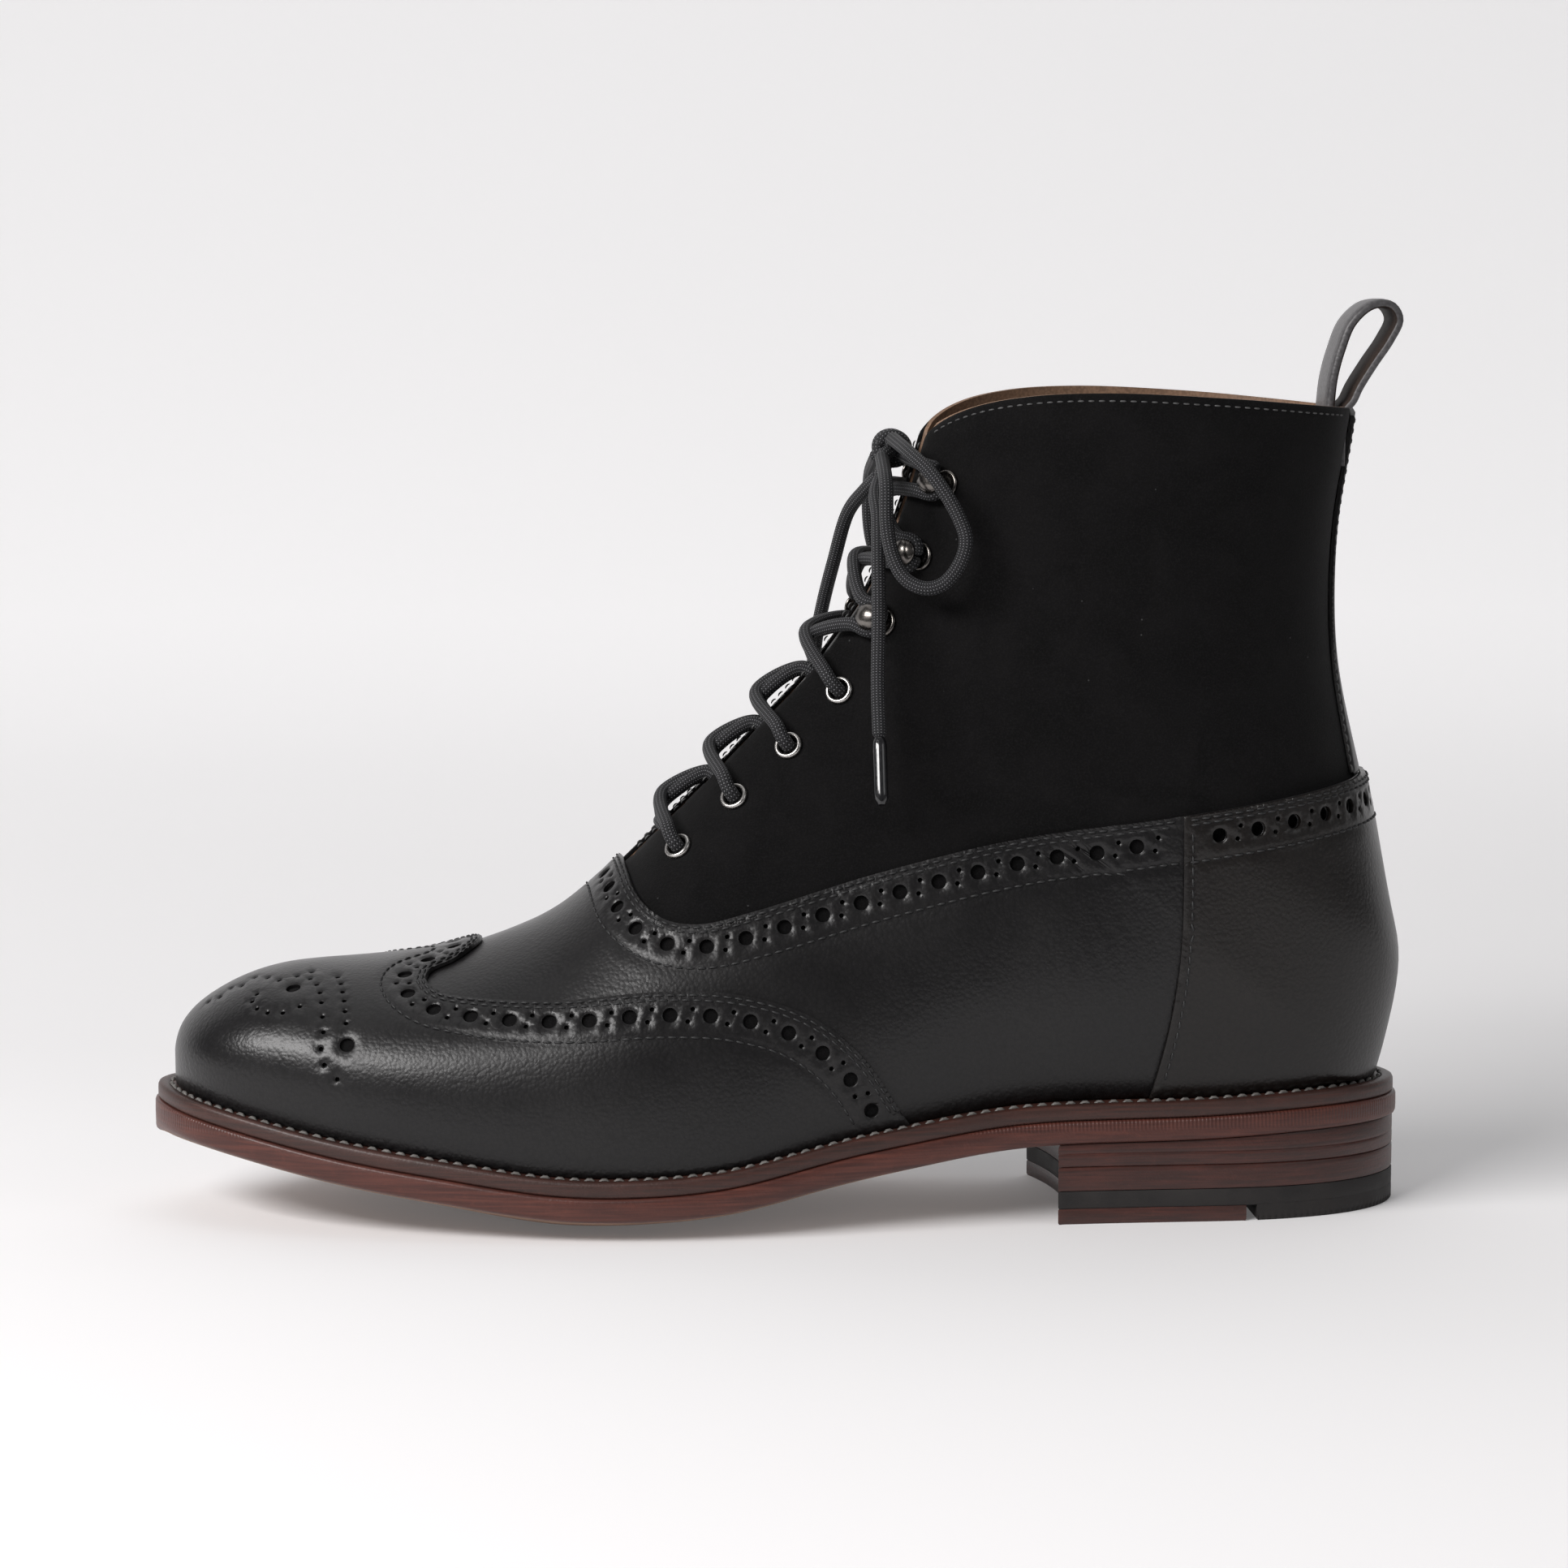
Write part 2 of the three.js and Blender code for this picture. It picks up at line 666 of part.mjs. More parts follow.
// The last as one sheet. Its sides share their points down the toe's front and up the back.
function lastSheet() {
  const rows = [];
  for (let i = 0; i <= footSteps; i++) {
    const even = i / footSteps;
    rows.push(footEnd * (even - endFineness * Math.sin(2 * Math.PI * even)));
  }
  for (let i = 1; i <= legSteps; i++) rows.push(mix(footEnd, topRow, i / legSteps));
  const points = [];
  const grid = rows.map((row, i) => {
    const line = [];
    for (let j = -girthSteps; j <= girthSteps; j++) {
      const sharesToe = i === 0 && j > 0;
      const sharesBack = i >= footSteps && j === girthSteps;
      if (sharesToe) line.push(line[girthSteps - j]);
      else if (sharesBack) line.push(line[0]);
      else line.push(points.push(lastPoint(row, j / girthSteps)) - 1);
    }
    return line;
  });
  const faces = [];
  for (let i = 0; i + 1 < grid.length; i++) {
    for (let j = 0; j + 1 < grid[i].length; j++) {
      const [a, b, c, d] = [grid[i][j], grid[i + 1][j], grid[i + 1][j + 1], grid[i][j + 1]];
      faces.push([a, b, c], [a, c, d]);
    }
  }
  const hem = new Set();
  for (let i = 0; i <= footSteps; i++) {
    hem.add(grid[i][0]);
    hem.add(grid[i][2 * girthSteps]);
  }
  return { points, faces, hem };
}

function sheetNormals(sheet) {
  const normals = sheet.points.map(() => new THREE.Vector3());
  const edge1 = new THREE.Vector3();
  const edge2 = new THREE.Vector3();
  for (const [a, b, c] of sheet.faces) {
    edge1.subVectors(sheet.points[b], sheet.points[a]);
    edge2.subVectors(sheet.points[c], sheet.points[a]);
    edge1.cross(edge2);
    for (const corner of [a, b, c]) normals[corner].add(edge1);
  }
  for (const corner of sheet.hem) normals[corner].z = 0;
  for (const normal of normals) normal.normalize();
  const front = sheet.points.reduce((best, p, k) => (p.x < sheet.points[best].x ? k : best), 0);
  if (normals[front].x > 0) for (const normal of normals) normal.negate();
  return normals;
}

const sheet = lastSheet();
const normals = sheetNormals(sheet);

function openEdges(faces) {
  const seen = new Map();
  for (const face of faces) {
    face.forEach((a, k) => {
      const b = face[(k + 1) % face.length];
      if (!seen.delete(b + "," + a)) seen.set(a + "," + b, [a, b]);
    });
  }
  return [...seen.values()];
}

// A hollow form between two distances out from the last. Its lower edge stands clear of the welt.
function layer(outer, inner) {
  const count = sheet.points.length;
  const points = [];
  for (const distance of [outer, inner]) {
    sheet.points.forEach((point, k) => {
      const moved = point.clone().addScaledVector(normals[k], distance);
      if (sheet.hem.has(k)) moved.z = weltTop(moved.x) + hemClearance;
      points.push(moved.toArray());
    });
  }
  const faces = [];
  for (const [a, b, c] of sheet.faces) faces.push([a, b, c], [a + count, c + count, b + count]);
  for (const [a, b] of openEdges(sheet.faces)) faces.push([b, a, a + count, b + count]);
  return solidFrom(points, faces);
}

// A smooth line through the points of a seam, in millimetres of side view.
function seamCurve(points, height) {
  const placed = points.map(([share, up]) => {
    const x = along(share);
    return new THREE.Vector2(x, height(x, up));
  });
  return new THREE.SplineCurve(placed).getPoints(2 * (points.length - 1));
}

function overWelt(x, up) {
  return weltTop(THREE.MathUtils.clamp(x, -halfLength, halfLength)) + up * instepRise;
}

function overSeat(x, up) {
  return heelSeat + up * legRise;
}

const far = 2 * soleLength; // beyond every piece

// A prism across the whole boot from an outline in side view.
function sidePrism(points) {
  const geometry = new THREE.ExtrudeGeometry(new THREE.Shape(points), {
    depth: 2 * far,
    bevelEnabled: false,
  });
  geometry.rotateX(Math.PI / 2);
  geometry.translate(0, far, 0);
  return solidOf(geometry);
}

function corner(x, z) {
  return new THREE.Vector2(x, z);
}

const band = seamCurve(bandLine, overWelt);
const wing = seamCurve(wingLine, overWelt);
const counterSeam = seamCurve(counterLine, overWelt);
const collar = seamCurve(collarLine, overSeat);

function lifted(points, by) {
  return points.map((p) => corner(p.x, p.y + by));
}

function above(line) {
  const first = line[0];
  const last = line[line.length - 1];
  return sidePrism([...line, corner(far, last.y), corner(far, far), corner(first.x, far)]);
}

const wingFront = sidePrism([
  ...wing,
  corner(wing.at(-1).x, -far),
  corner(-far, -far),
  corner(-far, far),
  corner(wing[0].x, far),
]);
const aboveBand = above(band);
const frontOfBand = sidePrism([
  corner(-far, -far),
  corner(-far, far),
  corner(band[0].x, far),
  corner(band[0].x, -far),
]);
const legRegion = aboveBand.subtract(frontOfBand);
const behindCounter = sidePrism([...counterSeam, corner(far, counterSeam.at(-1).y), corner(far, counterSeam[0].y)]);

function aboveCollar(drop) {
  const line = lifted(collar, -drop);
  return sidePrism([
    corner(-far, line[0].y),
    ...line,
    corner(far, line.at(-1).y),
    corner(far, far),
    corner(-far, far),
  ]);
}

// Instep line, measured from the throat's end
const throatRow = solve((row) => lastSpline.ridgeX(row), along(throatAlong), 1, topRow);
const ridgeRows = [];
for (let row = throatRow, travelled = 0; row <= topRow; row += 0.05) {
  if (ridgeRows.length) travelled += sectionAt(row).ridge.distanceTo(ridgeRows.at(-1).point);
  ridgeRows.push({ row, travelled, point: sectionAt(row).ridge });
}

function instepRow(distance) {
  const next = ridgeRows.findIndex((r) => r.travelled > distance);
  const [a, b] = [ridgeRows[next - 1], ridgeRows[next]];
  return mix(a.row, b.row, (distance - a.travelled) / (b.travelled - a.travelled));
}

const throatFoot = sectionAt(throatRow).ridge;
const throatTop = sectionAt(topRow).ridge;
const throatLength = throatFoot.distanceTo(throatTop);
const upInstep = throatTop.clone().sub(throatFoot).normalize();
const acrossFoot = new THREE.Vector3(0, 1, 0);
const offInstep = new THREE.Vector3().crossVectors(upInstep, acrossFoot);
const prismDepth = 26; // reach of the throat's cut below the instep line

// A prism square to the instep line, from an outline of distances up the line and across it.
function throatPrism(points) {
  const geometry = new THREE.ExtrudeGeometry(new THREE.Shape(points), {
    depth: 3 * prismDepth,
    bevelEnabled: false,
  });
  const place = new THREE.Matrix4().makeBasis(upInstep, acrossFoot, offInstep);
  place.setPosition(throatFoot.clone().addScaledVector(offInstep, -prismDepth));
  geometry.applyMatrix4(place);
  return solidOf(geometry);
}

// A round-ended wedge up the throat
function wedge(start, startHalf, endHalf, topReach) {
  const points = [corner(throatLength + topReach, endHalf), corner(throatLength + topReach, -endHalf)];
  const turns = 6;
  for (let k = 0; k <= turns; k++) {
    const angle = -Math.PI / 2 - (Math.PI * k) / turns;
    points.push(corner(start + startHalf + startHalf * Math.cos(angle), startHalf * Math.sin(angle)));
  }
  return points.reverse();
}

const throat = throatPrism(wedge(0, throatEndHalfWidth, throatHalfWidth, prismDepth));
const tongueForm = throatPrism(wedge(-tongueRoot, 0.7 * tongueHalfWidth, tongueHalfWidth, prismDepth));

// Hardware stations on both sides
function hardware(k, side) {
  const row = instepRow(fittings.travel[k] * throatLength);
  const ahead = sectionAt(row + 0.1).ridge;
  const here = sectionAt(row).ridge;
  const up = ahead.clone().sub(here).normalize();
  const inwards = new THREE.Vector3(up.z, 0, -up.x);
  const target = here.clone().addScaledVector(inwards, fittings.depth[k] * eyeletInset);
  const found = locate(target.x, target.z, side, row);
  const point = lastPoint(found.row, found.girth);
  const normal = lastNormal(found.row, found.girth);
  if (normal.y * side < 0) normal.negate();
  const toThroat = new THREE.Vector3(0, -side, 0);
  toThroat.addScaledVector(up, -toThroat.dot(up));
  toThroat.addScaledVector(normal, -toThroat.dot(normal)).normalize();
  return { point, normal, toThroat, upward: new THREE.Vector3().crossVectors(normal, toThroat) };
}

// Moves a solid made about the origin, with its axis up, onto a hardware station.
function seated(geometry, station, height) {
  const place = new THREE.Matrix4().makeBasis(station.toThroat, station.upward, station.normal);
  place.setPosition(station.point.clone().addScaledVector(station.normal, height));
  return solidOf(geometry.applyMatrix4(place));
}

// A turned form whose axis is up
function turned(profile, segments) {
  const geometry = new THREE.LatheGeometry(
    profile.map(([r, h]) => new THREE.Vector2(r, h)),
    segments,
  );
  return geometry.rotateX(Math.PI / 2);
}

function tube(points, radius, steps) {
  const circle = [];
  for (let k = 0; k < laceSides; k++) {
    const angle = (2 * Math.PI * k) / laceSides;
    circle.push(corner(radius * Math.cos(angle), radius * Math.sin(angle)));
  }
  const path = new THREE.CatmullRomCurve3(points);
  const geometry = new THREE.ExtrudeGeometry(new THREE.Shape(circle), {
    steps,
    bevelEnabled: false,
    extrudePath: path,
  });
  return solidOf(geometry);
}

const stations = [];
for (let k = 0; k < fittings.travel.length; k++) {
  stations.push([hardware(k, -1), hardware(k, 1)]);
}
const sideNames = ["lateral", "medial"];

// Upper
let upper = layer(0, -wall).subtract(throat).subtract(aboveCollar(0));
const barrelHole = turned(
  [
    [0, -3 * wall],
    [eyeletBarrel + clearance, -3 * wall],
    [eyeletBarrel + clearance, 2 * wall],
    [0, 2 * wall],
  ],
  turnSides,
);
for (const pair of stations.slice(0, eyeletCount)) {
  for (const station of pair) upper = upper.subtract(seated(barrelHole.clone(), station, 0));
}
addPiece("upper", upper, "suede");

const footForm = layer(overlay + clearance, clearance);
const capForm = layer(overlayStack, overlayStack - overlay);
addPiece("foot_leather", footForm.subtract(legRegion), "leather");
addPiece("wing_cap", capForm.intersect(wingFront), "leather");
addPiece("heel_counter", capForm.intersect(behindCounter).subtract(legRegion), "leather");

// Back strip, up the back from the foot leather to the collar
const bandBack = band.at(-1).y;
const stripTop = heelSeat + 1.2 * legRise;
const stripOutline = new THREE.Shape([
  corner(-backStripFoot, bandBack - 0.2 * legRise),
  corner(backStripFoot, bandBack - 0.2 * legRise),
  corner(backStripFoot, bandBack),
  corner(0.62 * backStripFoot, mix(bandBack, heelSeat + legRise, 0.35)),
  corner(backStripTop, heelSeat + legRise),
  corner(backStripTop, stripTop),
  corner(-backStripTop, stripTop),
  corner(-backStripTop, heelSeat + legRise),
  corner(-0.62 * backStripFoot, mix(bandBack, heelSeat + legRise, 0.35)),
  corner(-backStripFoot, bandBack),
]);
const stripPrism = new THREE.ExtrudeGeometry(stripOutline, { depth: halfLength, bevelEnabled: false });
const alongX = new THREE.Matrix4().makeBasis(
  new THREE.Vector3(0, 1, 0),
  new THREE.Vector3(0, 0, 1),
  new THREE.Vector3(1, 0, 0),
);
stripPrism.applyMatrix4(alongX).translate(0.25 * soleLength, 0, 0);
const clearOfBand = above(lifted(band, clearance));
addPiece(
  "back_strip",
  footForm.intersect(solidOf(stripPrism)).intersect(clearOfBand).subtract(aboveCollar(0)),
  "leather",
);

// Pull loop, a folded strap at the collar's back
const collarBack = new THREE.Vector3(along(leg.back.at(-1)), 0, collar.at(-1).y);
const strap = new THREE.ExtrudeGeometry(
  new THREE.Shape([
    corner(-loopWidth / 2, -loopThickness / 2),
    corner(loopWidth / 2, -loopThickness / 2),
    corner(loopWidth / 2, loopThickness / 2),
    corner(-loopWidth / 2, loopThickness / 2),
  ]),
  {
    steps: 24,
    bevelEnabled: false,
    extrudePath: new THREE.CatmullRomCurve3(
      loopLine.back.map((back, k) => {
        const away = new THREE.Vector3(back, 0, loopLine.up[k]);
        return collarBack.clone().addScaledVector(away, loopHeight);
      }),
    ),
  },
);
addPiece("pull_loop", solidOf(strap), "leather");

// Tongue, behind the throat and inside the wall
const tongueFace = -wall - clearance;
addPiece(
  "tongue",
  layer(tongueFace, tongueFace - tongueThickness).intersect(tongueForm).subtract(aboveCollar(tongueDrop)),
  "suede",
);

// Sole pieces
const outsoleTop = (x) => soleAt(soleRowAt(x)).edge + outsoleThickness;
addPiece("outsole", plate(soleSteps, soleColumns, soleplan(0, heelEnd, 0), underside, outsoleTop), "sole");

const insoleInset = weltStep + weltWidth + 4 * clearance;
addPiece(
  "insole",
  plate(
    soleSteps - 8,
    soleColumns - 2,
    soleplan(0, heelEnd, insoleInset),
    (x) => outsoleTop(x) + clearance,
    (x, y) => outsoleTop(x) + clearance + insoleThickness - insoleDish * dish(x, y),
  ),
  "lining",
);

// Welt, a strip all round
function weltSolid() {
  const points = [];
  const ring = [];
  for (let k = 0; k < 2 * soleSteps; k++) {
    const side = k < soleSteps ? -1 : 1;
    const row = (heelEnd * (k < soleSteps ? k : 2 * soleSteps - k)) / soleSteps;
    ring.push(points.length);
    for (const inset of [weltStep, weltStep + weltWidth]) {
      const [x, y] = outline(row, side, inset);
      const low = outsoleTop(x) + clearance;
      points.push([x, y, low], [x, y, weltTop(x)]);
    }
  }
  const faces = [];
  ring.forEach((a, k) => {
    const b = ring[(k + 1) % ring.length];
    faces.push([a, b, b + 1, a + 1], [a + 1, b + 1, b + 3, a + 3]);
    faces.push([a + 3, b + 3, b + 2, a + 2], [a + 2, b + 2, b, a]);
  });
  return solidFrom(points, faces);
}
addPiece("welt", weltSolid(), "welt");

// Heel: two leather lifts, then the top piece with a leather strip at its front
const breastRow = soleRowAt(along(breastAlong));
const heelPlan = soleplan(breastRow, heelEnd, heelInset, breastHollow);
const level = (z) => () => z;
const lowerLiftTop = topPieceThickness + clearance + lowerLiftThickness;
const heelLayer = (low, high) => plate(heelSteps, soleColumns, heelPlan, level(low), level(high));
const underOutsole = plate(
  soleSteps,
  soleColumns,
  soleplan(0, heelEnd, 0),
  (x, y) => underside(x, y) - clearance,
  level(far),
);
addPiece(
  "heel_lift_upper",
  heelLayer(lowerLiftTop + clearance, 2 * heelHeight).subtract(underOutsole),
  "stack",
);
addPiece("heel_lift_lower", heelLayer(topPieceThickness + clearance, lowerLiftTop), "stack");
const topPiece = heelLayer(0, topPieceThickness);
const stripEnd = along(breastAlong) + topStripLength;
function stripBlock(end, height) {
  return sidePrism([corner(0, -far), corner(end, -far), corner(end, height), corner(0, height)]);
}
const stripRoom = stripBlock(stripEnd + clearance, topStripThickness + clearance);
addPiece("heel_top_piece", topPiece.subtract(stripRoom), "rubber");
addPiece("heel_top_strip", topPiece.intersect(stripBlock(stripEnd, topStripThickness)), "stack");

// Eyelets and speed hooks
const eyeletProfile = [
  [eyeletHole, clearance - wall],
  [eyeletBarrel, clearance - wall],
  [eyeletBarrel, clearance],
  [eyeletRadius, clearance],
  [eyeletRadius, clearance + 0.5 * eyeletRim],
  [mix(eyeletHole, eyeletRadius, 0.5), clearance + eyeletRim],
  [eyeletHole, clearance - wall],
];
const capSeat = clearance + hookBase + hookGap;
const hookBaseProfile = [
  [0, clearance],
  [hookRadius, clearance],
  [0.9 * hookRadius, clearance + hookBase],
  [0, clearance + hookBase],
];
const hookCapProfile = [
  [0, capSeat],
  [hookCapRadius, capSeat],
  [0.78 * hookCapRadius, capSeat + 0.7 * hookCapHeight],
  [0, capSeat + hookCapHeight],
];

function hookSolid(station) {
  const base = turned(hookBaseProfile, turnSides);
  const cap = turned(hookCapProfile, turnSides).translate(hookLean, 0, 0);
  const neckHeight = hookGap + 0.5 * hookBase + 0.5 * hookCapHeight;
  const neck = new THREE.BoxGeometry(neckThickness, 2 * neckHalfWidth, neckHeight);
  neck.translate(hookRadius - neckThickness, 0, clearance + 0.5 * hookBase + neckHeight / 2);
  return seated(base, station, 0).add(seated(cap, station, 0)).add(seated(neck, station, 0));
}

stations.forEach((pair, k) => {
  pair.forEach((station, s) => {
    if (k < eyeletCount) {
      addPiece(`eyelet_${sideNames[s]}_${k + 1}`, seated(turned(eyeletProfile, turnSides), station, 0), "eyelet");
    } else {
      addPiece(`hook_${sideNames[s]}_${k - eyeletCount + 1}`, hookSolid(station), "hook");
    }
  });
});

// Lace bars and crossings, over the facings and clear of the hardware
const laceLift = clearance + eyeletRim + clearance + laceRadius;

// A point by a hardware station: out from the upper, towards the throat and up the instep.
function by(station, out, throatwards, upward) {
  return station.point
    .clone()
    .addScaledVector(station.normal, out)
    .addScaledVector(station.toThroat, throatwards)
    .addScaledVector(station.upward, upward);
}

function overThroat(a, b, share, out) {
  const middle = a.point.clone().lerp(b.point, share);
  const row = solve((r) => sectionAt(r).ridge.z, middle.z + eyeletInset * upInstep.x, throatRow, topRow);
  return sectionAt(row).ridge.clone().addScaledVector(offInstep, out);
}

// Beside a hook's neck, between its base and its cap
const besideNeck = neckHalfWidth + 2 * clearance + laceRadius;
const underCap = clearance + hookBase + hookGap / 2;

function upwardSign(station) {
  return Math.sign(station.upward.dot(upInstep));
}

// A point by a hook's neck, over it or under it along the instep, and so far towards the throat
function byHook(station, beyond, throatwards) {
  return by(station, underCap, throatwards, beyond * besideNeck * upwardSign(station));
}

const clearOfCap = hookLean + hookCapRadius + laceRadius;

// One strand: off an eyelet or a hook, over the throat, then down between the facings or to a hook.
function strand(k, side) {
  const from = stations[k][side];
  const to = stations[k + 1][1 - side];
  const path = [];
  if (k < eyeletCount) path.push(by(from, laceLift, -0.5, 0), by(from, laceLift + clearance, 4, 0));
  else path.push(byHook(from, 1, neckHalfWidth), byHook(from, 1, clearOfCap));
  path.push(overThroat(from, to, k < eyeletCount ? 0.4 : 0.5, laceLift));
  if (k + 1 < eyeletCount) path.push(inThroat(to, 1 - side));
  else path.push(byHook(to, -1, clearOfCap), byHook(to, -1, neckHalfWidth));
  return tube(path, laceRadius, 6);
}

// Over the tongue, beside the edge of the facing
function inThroat(station, side) {
  const found = overThroat(station, station, 0.5, laceRadius + clearance - wall);
  found.y += (side === 0 ? -1 : 1) * 0.4 * throatEndHalfWidth;
  return found;
}

for (let k = 0; k + 1 < stations.length; k++) {
  addPiece(`lace_crossing_${k + 1}`, strand(k, 0).add(strand(k, 1)), "lace");
}

// Knot with its two short strands, two bow loops, two ends and their tips
const knotRow = solve((r) => sectionAt(r).ridge.z, heelSeat + knotRise * legRise, throatRow, topRow);
const knot = sectionAt(knotRow).ridge.clone().addScaledVector(offInstep, knotRadius);
const knotBall = new THREE.SphereGeometry(knotRadius, 9, 6).scale(0.85, 1.15, 0.85);
let knotSolid = solidOf(knotBall.translate(...knot.toArray()));
const behindKnot = knot.clone().addScaledVector(offInstep, -knotRadius / 2);
for (const top of stations.at(-1)) {
  const path = [byHook(top, 1, neckHalfWidth), byHook(top, 1, clearOfCap), behindKnot];
  knotSolid = knotSolid.add(tube(path, laceRadius, 6));
}
addPiece("lace_knot", knotSolid, "lace");

// Points of a bow loop or an end. Lengths are shares of bowLength, from the knot.
function hanging(rows, side) {
  return rows.back.map((back, k) => {
    const away = new THREE.Vector3(back, side * rows.out[k], -rows.down[k]);
    return knot.clone().addScaledVector(away, bowLength);
  });
}

sideNames.forEach((name, k) => {
  const side = k === 0 ? -1 : 1;
  addPiece(`lace_loop_${name}`, tube(hanging(bowLoop, side), laceRadius, 16), "lace");
  const end = hanging(k === 0 ? nearEnd : farEnd, side);
  addPiece(`lace_end_${name}`, tube(end, laceRadius, 10), "lace");
  const last = end.at(-1);
  const onward = last.clone().sub(end.at(-2)).normalize();
  const from = last.clone().addScaledVector(onward, clearance);
  const to = last.clone().addScaledVector(onward, tipLength);
  addPiece(`lace_tip_${name}`, tube([from, to], tipRadius, 1), "tip");
});

export default boot;
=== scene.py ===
"""Left brogue boot: its leather, suede, sole, heel, hardware and lace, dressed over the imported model.

The last and the sole are drawn from the same tables as the part's source, in millimetres. A place on
the last is a row, from the toe to the collar, and a girth, from -1 at the outer welt over 0 on the
instep to 1 at the inner welt. Toe to -X, outer side to -Y, +Z up.
"""
import math

import bmesh
import bpy
import numpy as np
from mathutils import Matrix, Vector
from mathutils.geometry import delaunay_2d_cdt
from mathutils.kdtree import KDTree


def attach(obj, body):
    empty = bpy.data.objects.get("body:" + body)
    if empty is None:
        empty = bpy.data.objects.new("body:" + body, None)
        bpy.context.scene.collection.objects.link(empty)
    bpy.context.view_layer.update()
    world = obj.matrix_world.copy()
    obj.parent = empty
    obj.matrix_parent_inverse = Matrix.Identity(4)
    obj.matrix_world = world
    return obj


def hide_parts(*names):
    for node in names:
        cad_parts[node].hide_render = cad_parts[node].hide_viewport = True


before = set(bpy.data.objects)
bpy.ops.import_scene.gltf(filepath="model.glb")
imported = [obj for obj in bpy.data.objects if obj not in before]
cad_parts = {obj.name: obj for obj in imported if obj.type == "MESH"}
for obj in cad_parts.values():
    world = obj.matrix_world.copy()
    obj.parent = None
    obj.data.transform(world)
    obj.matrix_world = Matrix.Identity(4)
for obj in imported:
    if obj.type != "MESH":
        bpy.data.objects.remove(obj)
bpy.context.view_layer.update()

MM = 0.001

# Camera, at the photograph's angle
camera_data = bpy.data.cameras.new("camera")
camera = bpy.data.objects.new("camera", camera_data)
bpy.context.collection.objects.link(camera)
camera_data.lens = 112.976
camera_data.sensor_width = 36
camera_data.clip_start = 0.05
EYE = np.array([-82.2, -1190.1, 232.9])
TURN, TILT = math.radians(4), math.radians(6.2)
LOOK = np.array([math.sin(TURN) * math.cos(TILT), math.cos(TURN) * math.cos(TILT), -math.sin(TILT)])
RIGHT = np.array([math.cos(TURN), -math.sin(TURN), 0])
ABOVE = np.cross(RIGHT, LOOK)
camera.location = EYE * MM
camera.rotation_mode = "QUATERNION"
camera.rotation_quaternion = Vector(LOOK).to_track_quat("-Z", "Y")
bpy.context.scene.camera = camera


def pixel(points):
    """Where points in millimetres fall in the 1932 pixel photograph."""
    away = points - EYE
    depth = away @ LOOK
    return np.stack([966 + 6063.1 * (away @ RIGHT) / depth, 966 - 6063.1 * (away @ ABOVE) / depth], -1)


# Sizes, as in the part's source
LENGTH, BALL, SPRING, TOE_TURN, CROWN, PITCH = 305, 102, 19.6, 4, 5.2, 19.5
OUTSOLE, WELT, WELT_STEP, WELT_WIDTH, INSOLE, DISH = 5.5, 3.7, 0.7, 9.8, 4.6, 0.3
TOP_PIECE, STRIP, STRIP_LENGTH, LIFT, HEEL_INSET, BREAST, HOLLOW = 8, 3.7, 46, 5.5, 0.8, 0.712, 5
WALL, OVERLAY, GAP, LAST_WIDTH, LEG_WIDTH, INSTEP, LEG = 2, 1.2, 0.3, 88, 72, 110, 163.5
FOOT_OUT, CAP_OUT = OVERLAY + GAP, 2 * (OVERLAY + GAP)
FEATHER = 4.9 + CAP_OUT
LACE, TIP_LENGTH, BOW_LENGTH = 1.7, 16.7, 34
LOOP_HEIGHT, TONGUE_ROOT, TONGUE_FOOT_HALF = 28, 14, 14.7
HOLE_PITCH, LARGE_HOLE, SMALL_HOLE = 9.6, 1.8, 0.58
LACE_SIDES, LACE_STEP = 18, 0.6

SOLE = np.array([
    [0, 0, 0, 1, 0.5, 1, 0], [0.008, 0.22, 0.23, 1, 0.5, 0.985, 0], [0.027, 0.42, 0.42, 1, 0.53, 0.92, 0],
    [0.06, 0.6, 0.6, 0.97, 0.6, 0.8, 0], [0.11, 0.76, 0.76, 0.9, 0.7, 0.61, 0],
    [0.17, 0.875, 0.875, 0.78, 0.82, 0.4, 0], [0.24, 0.96, 0.95, 0.6, 0.95, 0.2, 0],
    [0.315, 1.01, 0.967, 0.42, 1.1, 0, 0], [0.39, 1.02, 0.915, 0.25, 1.04, 0, 0],
    [0.46, 0.975, 0.815, 0.12, 0.98, 0, 0.12], [0.53, 0.88, 0.715, 0.03, 0.87, 0, 0.385],
    [0.6, 0.79, 0.645, 0, 0.68, 0, 0.625], [0.67, 0.715, 0.615, 0, 0.4, 0, 0.85],
    [0.74, 0.675, 0.62, 0, 0.1, 0, 0.98], [0.81, 0.66, 0.64, 0, 0, 0, 1.02],
    [0.87, 0.64, 0.635, 0, 0, 0, 1.06], [0.92, 0.565, 0.57, 0, 0, 0, 1.09],
    [0.957, 0.445, 0.45, 0, 0, 0, 1.1], [0.986, 0.26, 0.265, 0, 0, 0, 1.095], [1, 0, 0, 0, 0, 0, 1.09],
])
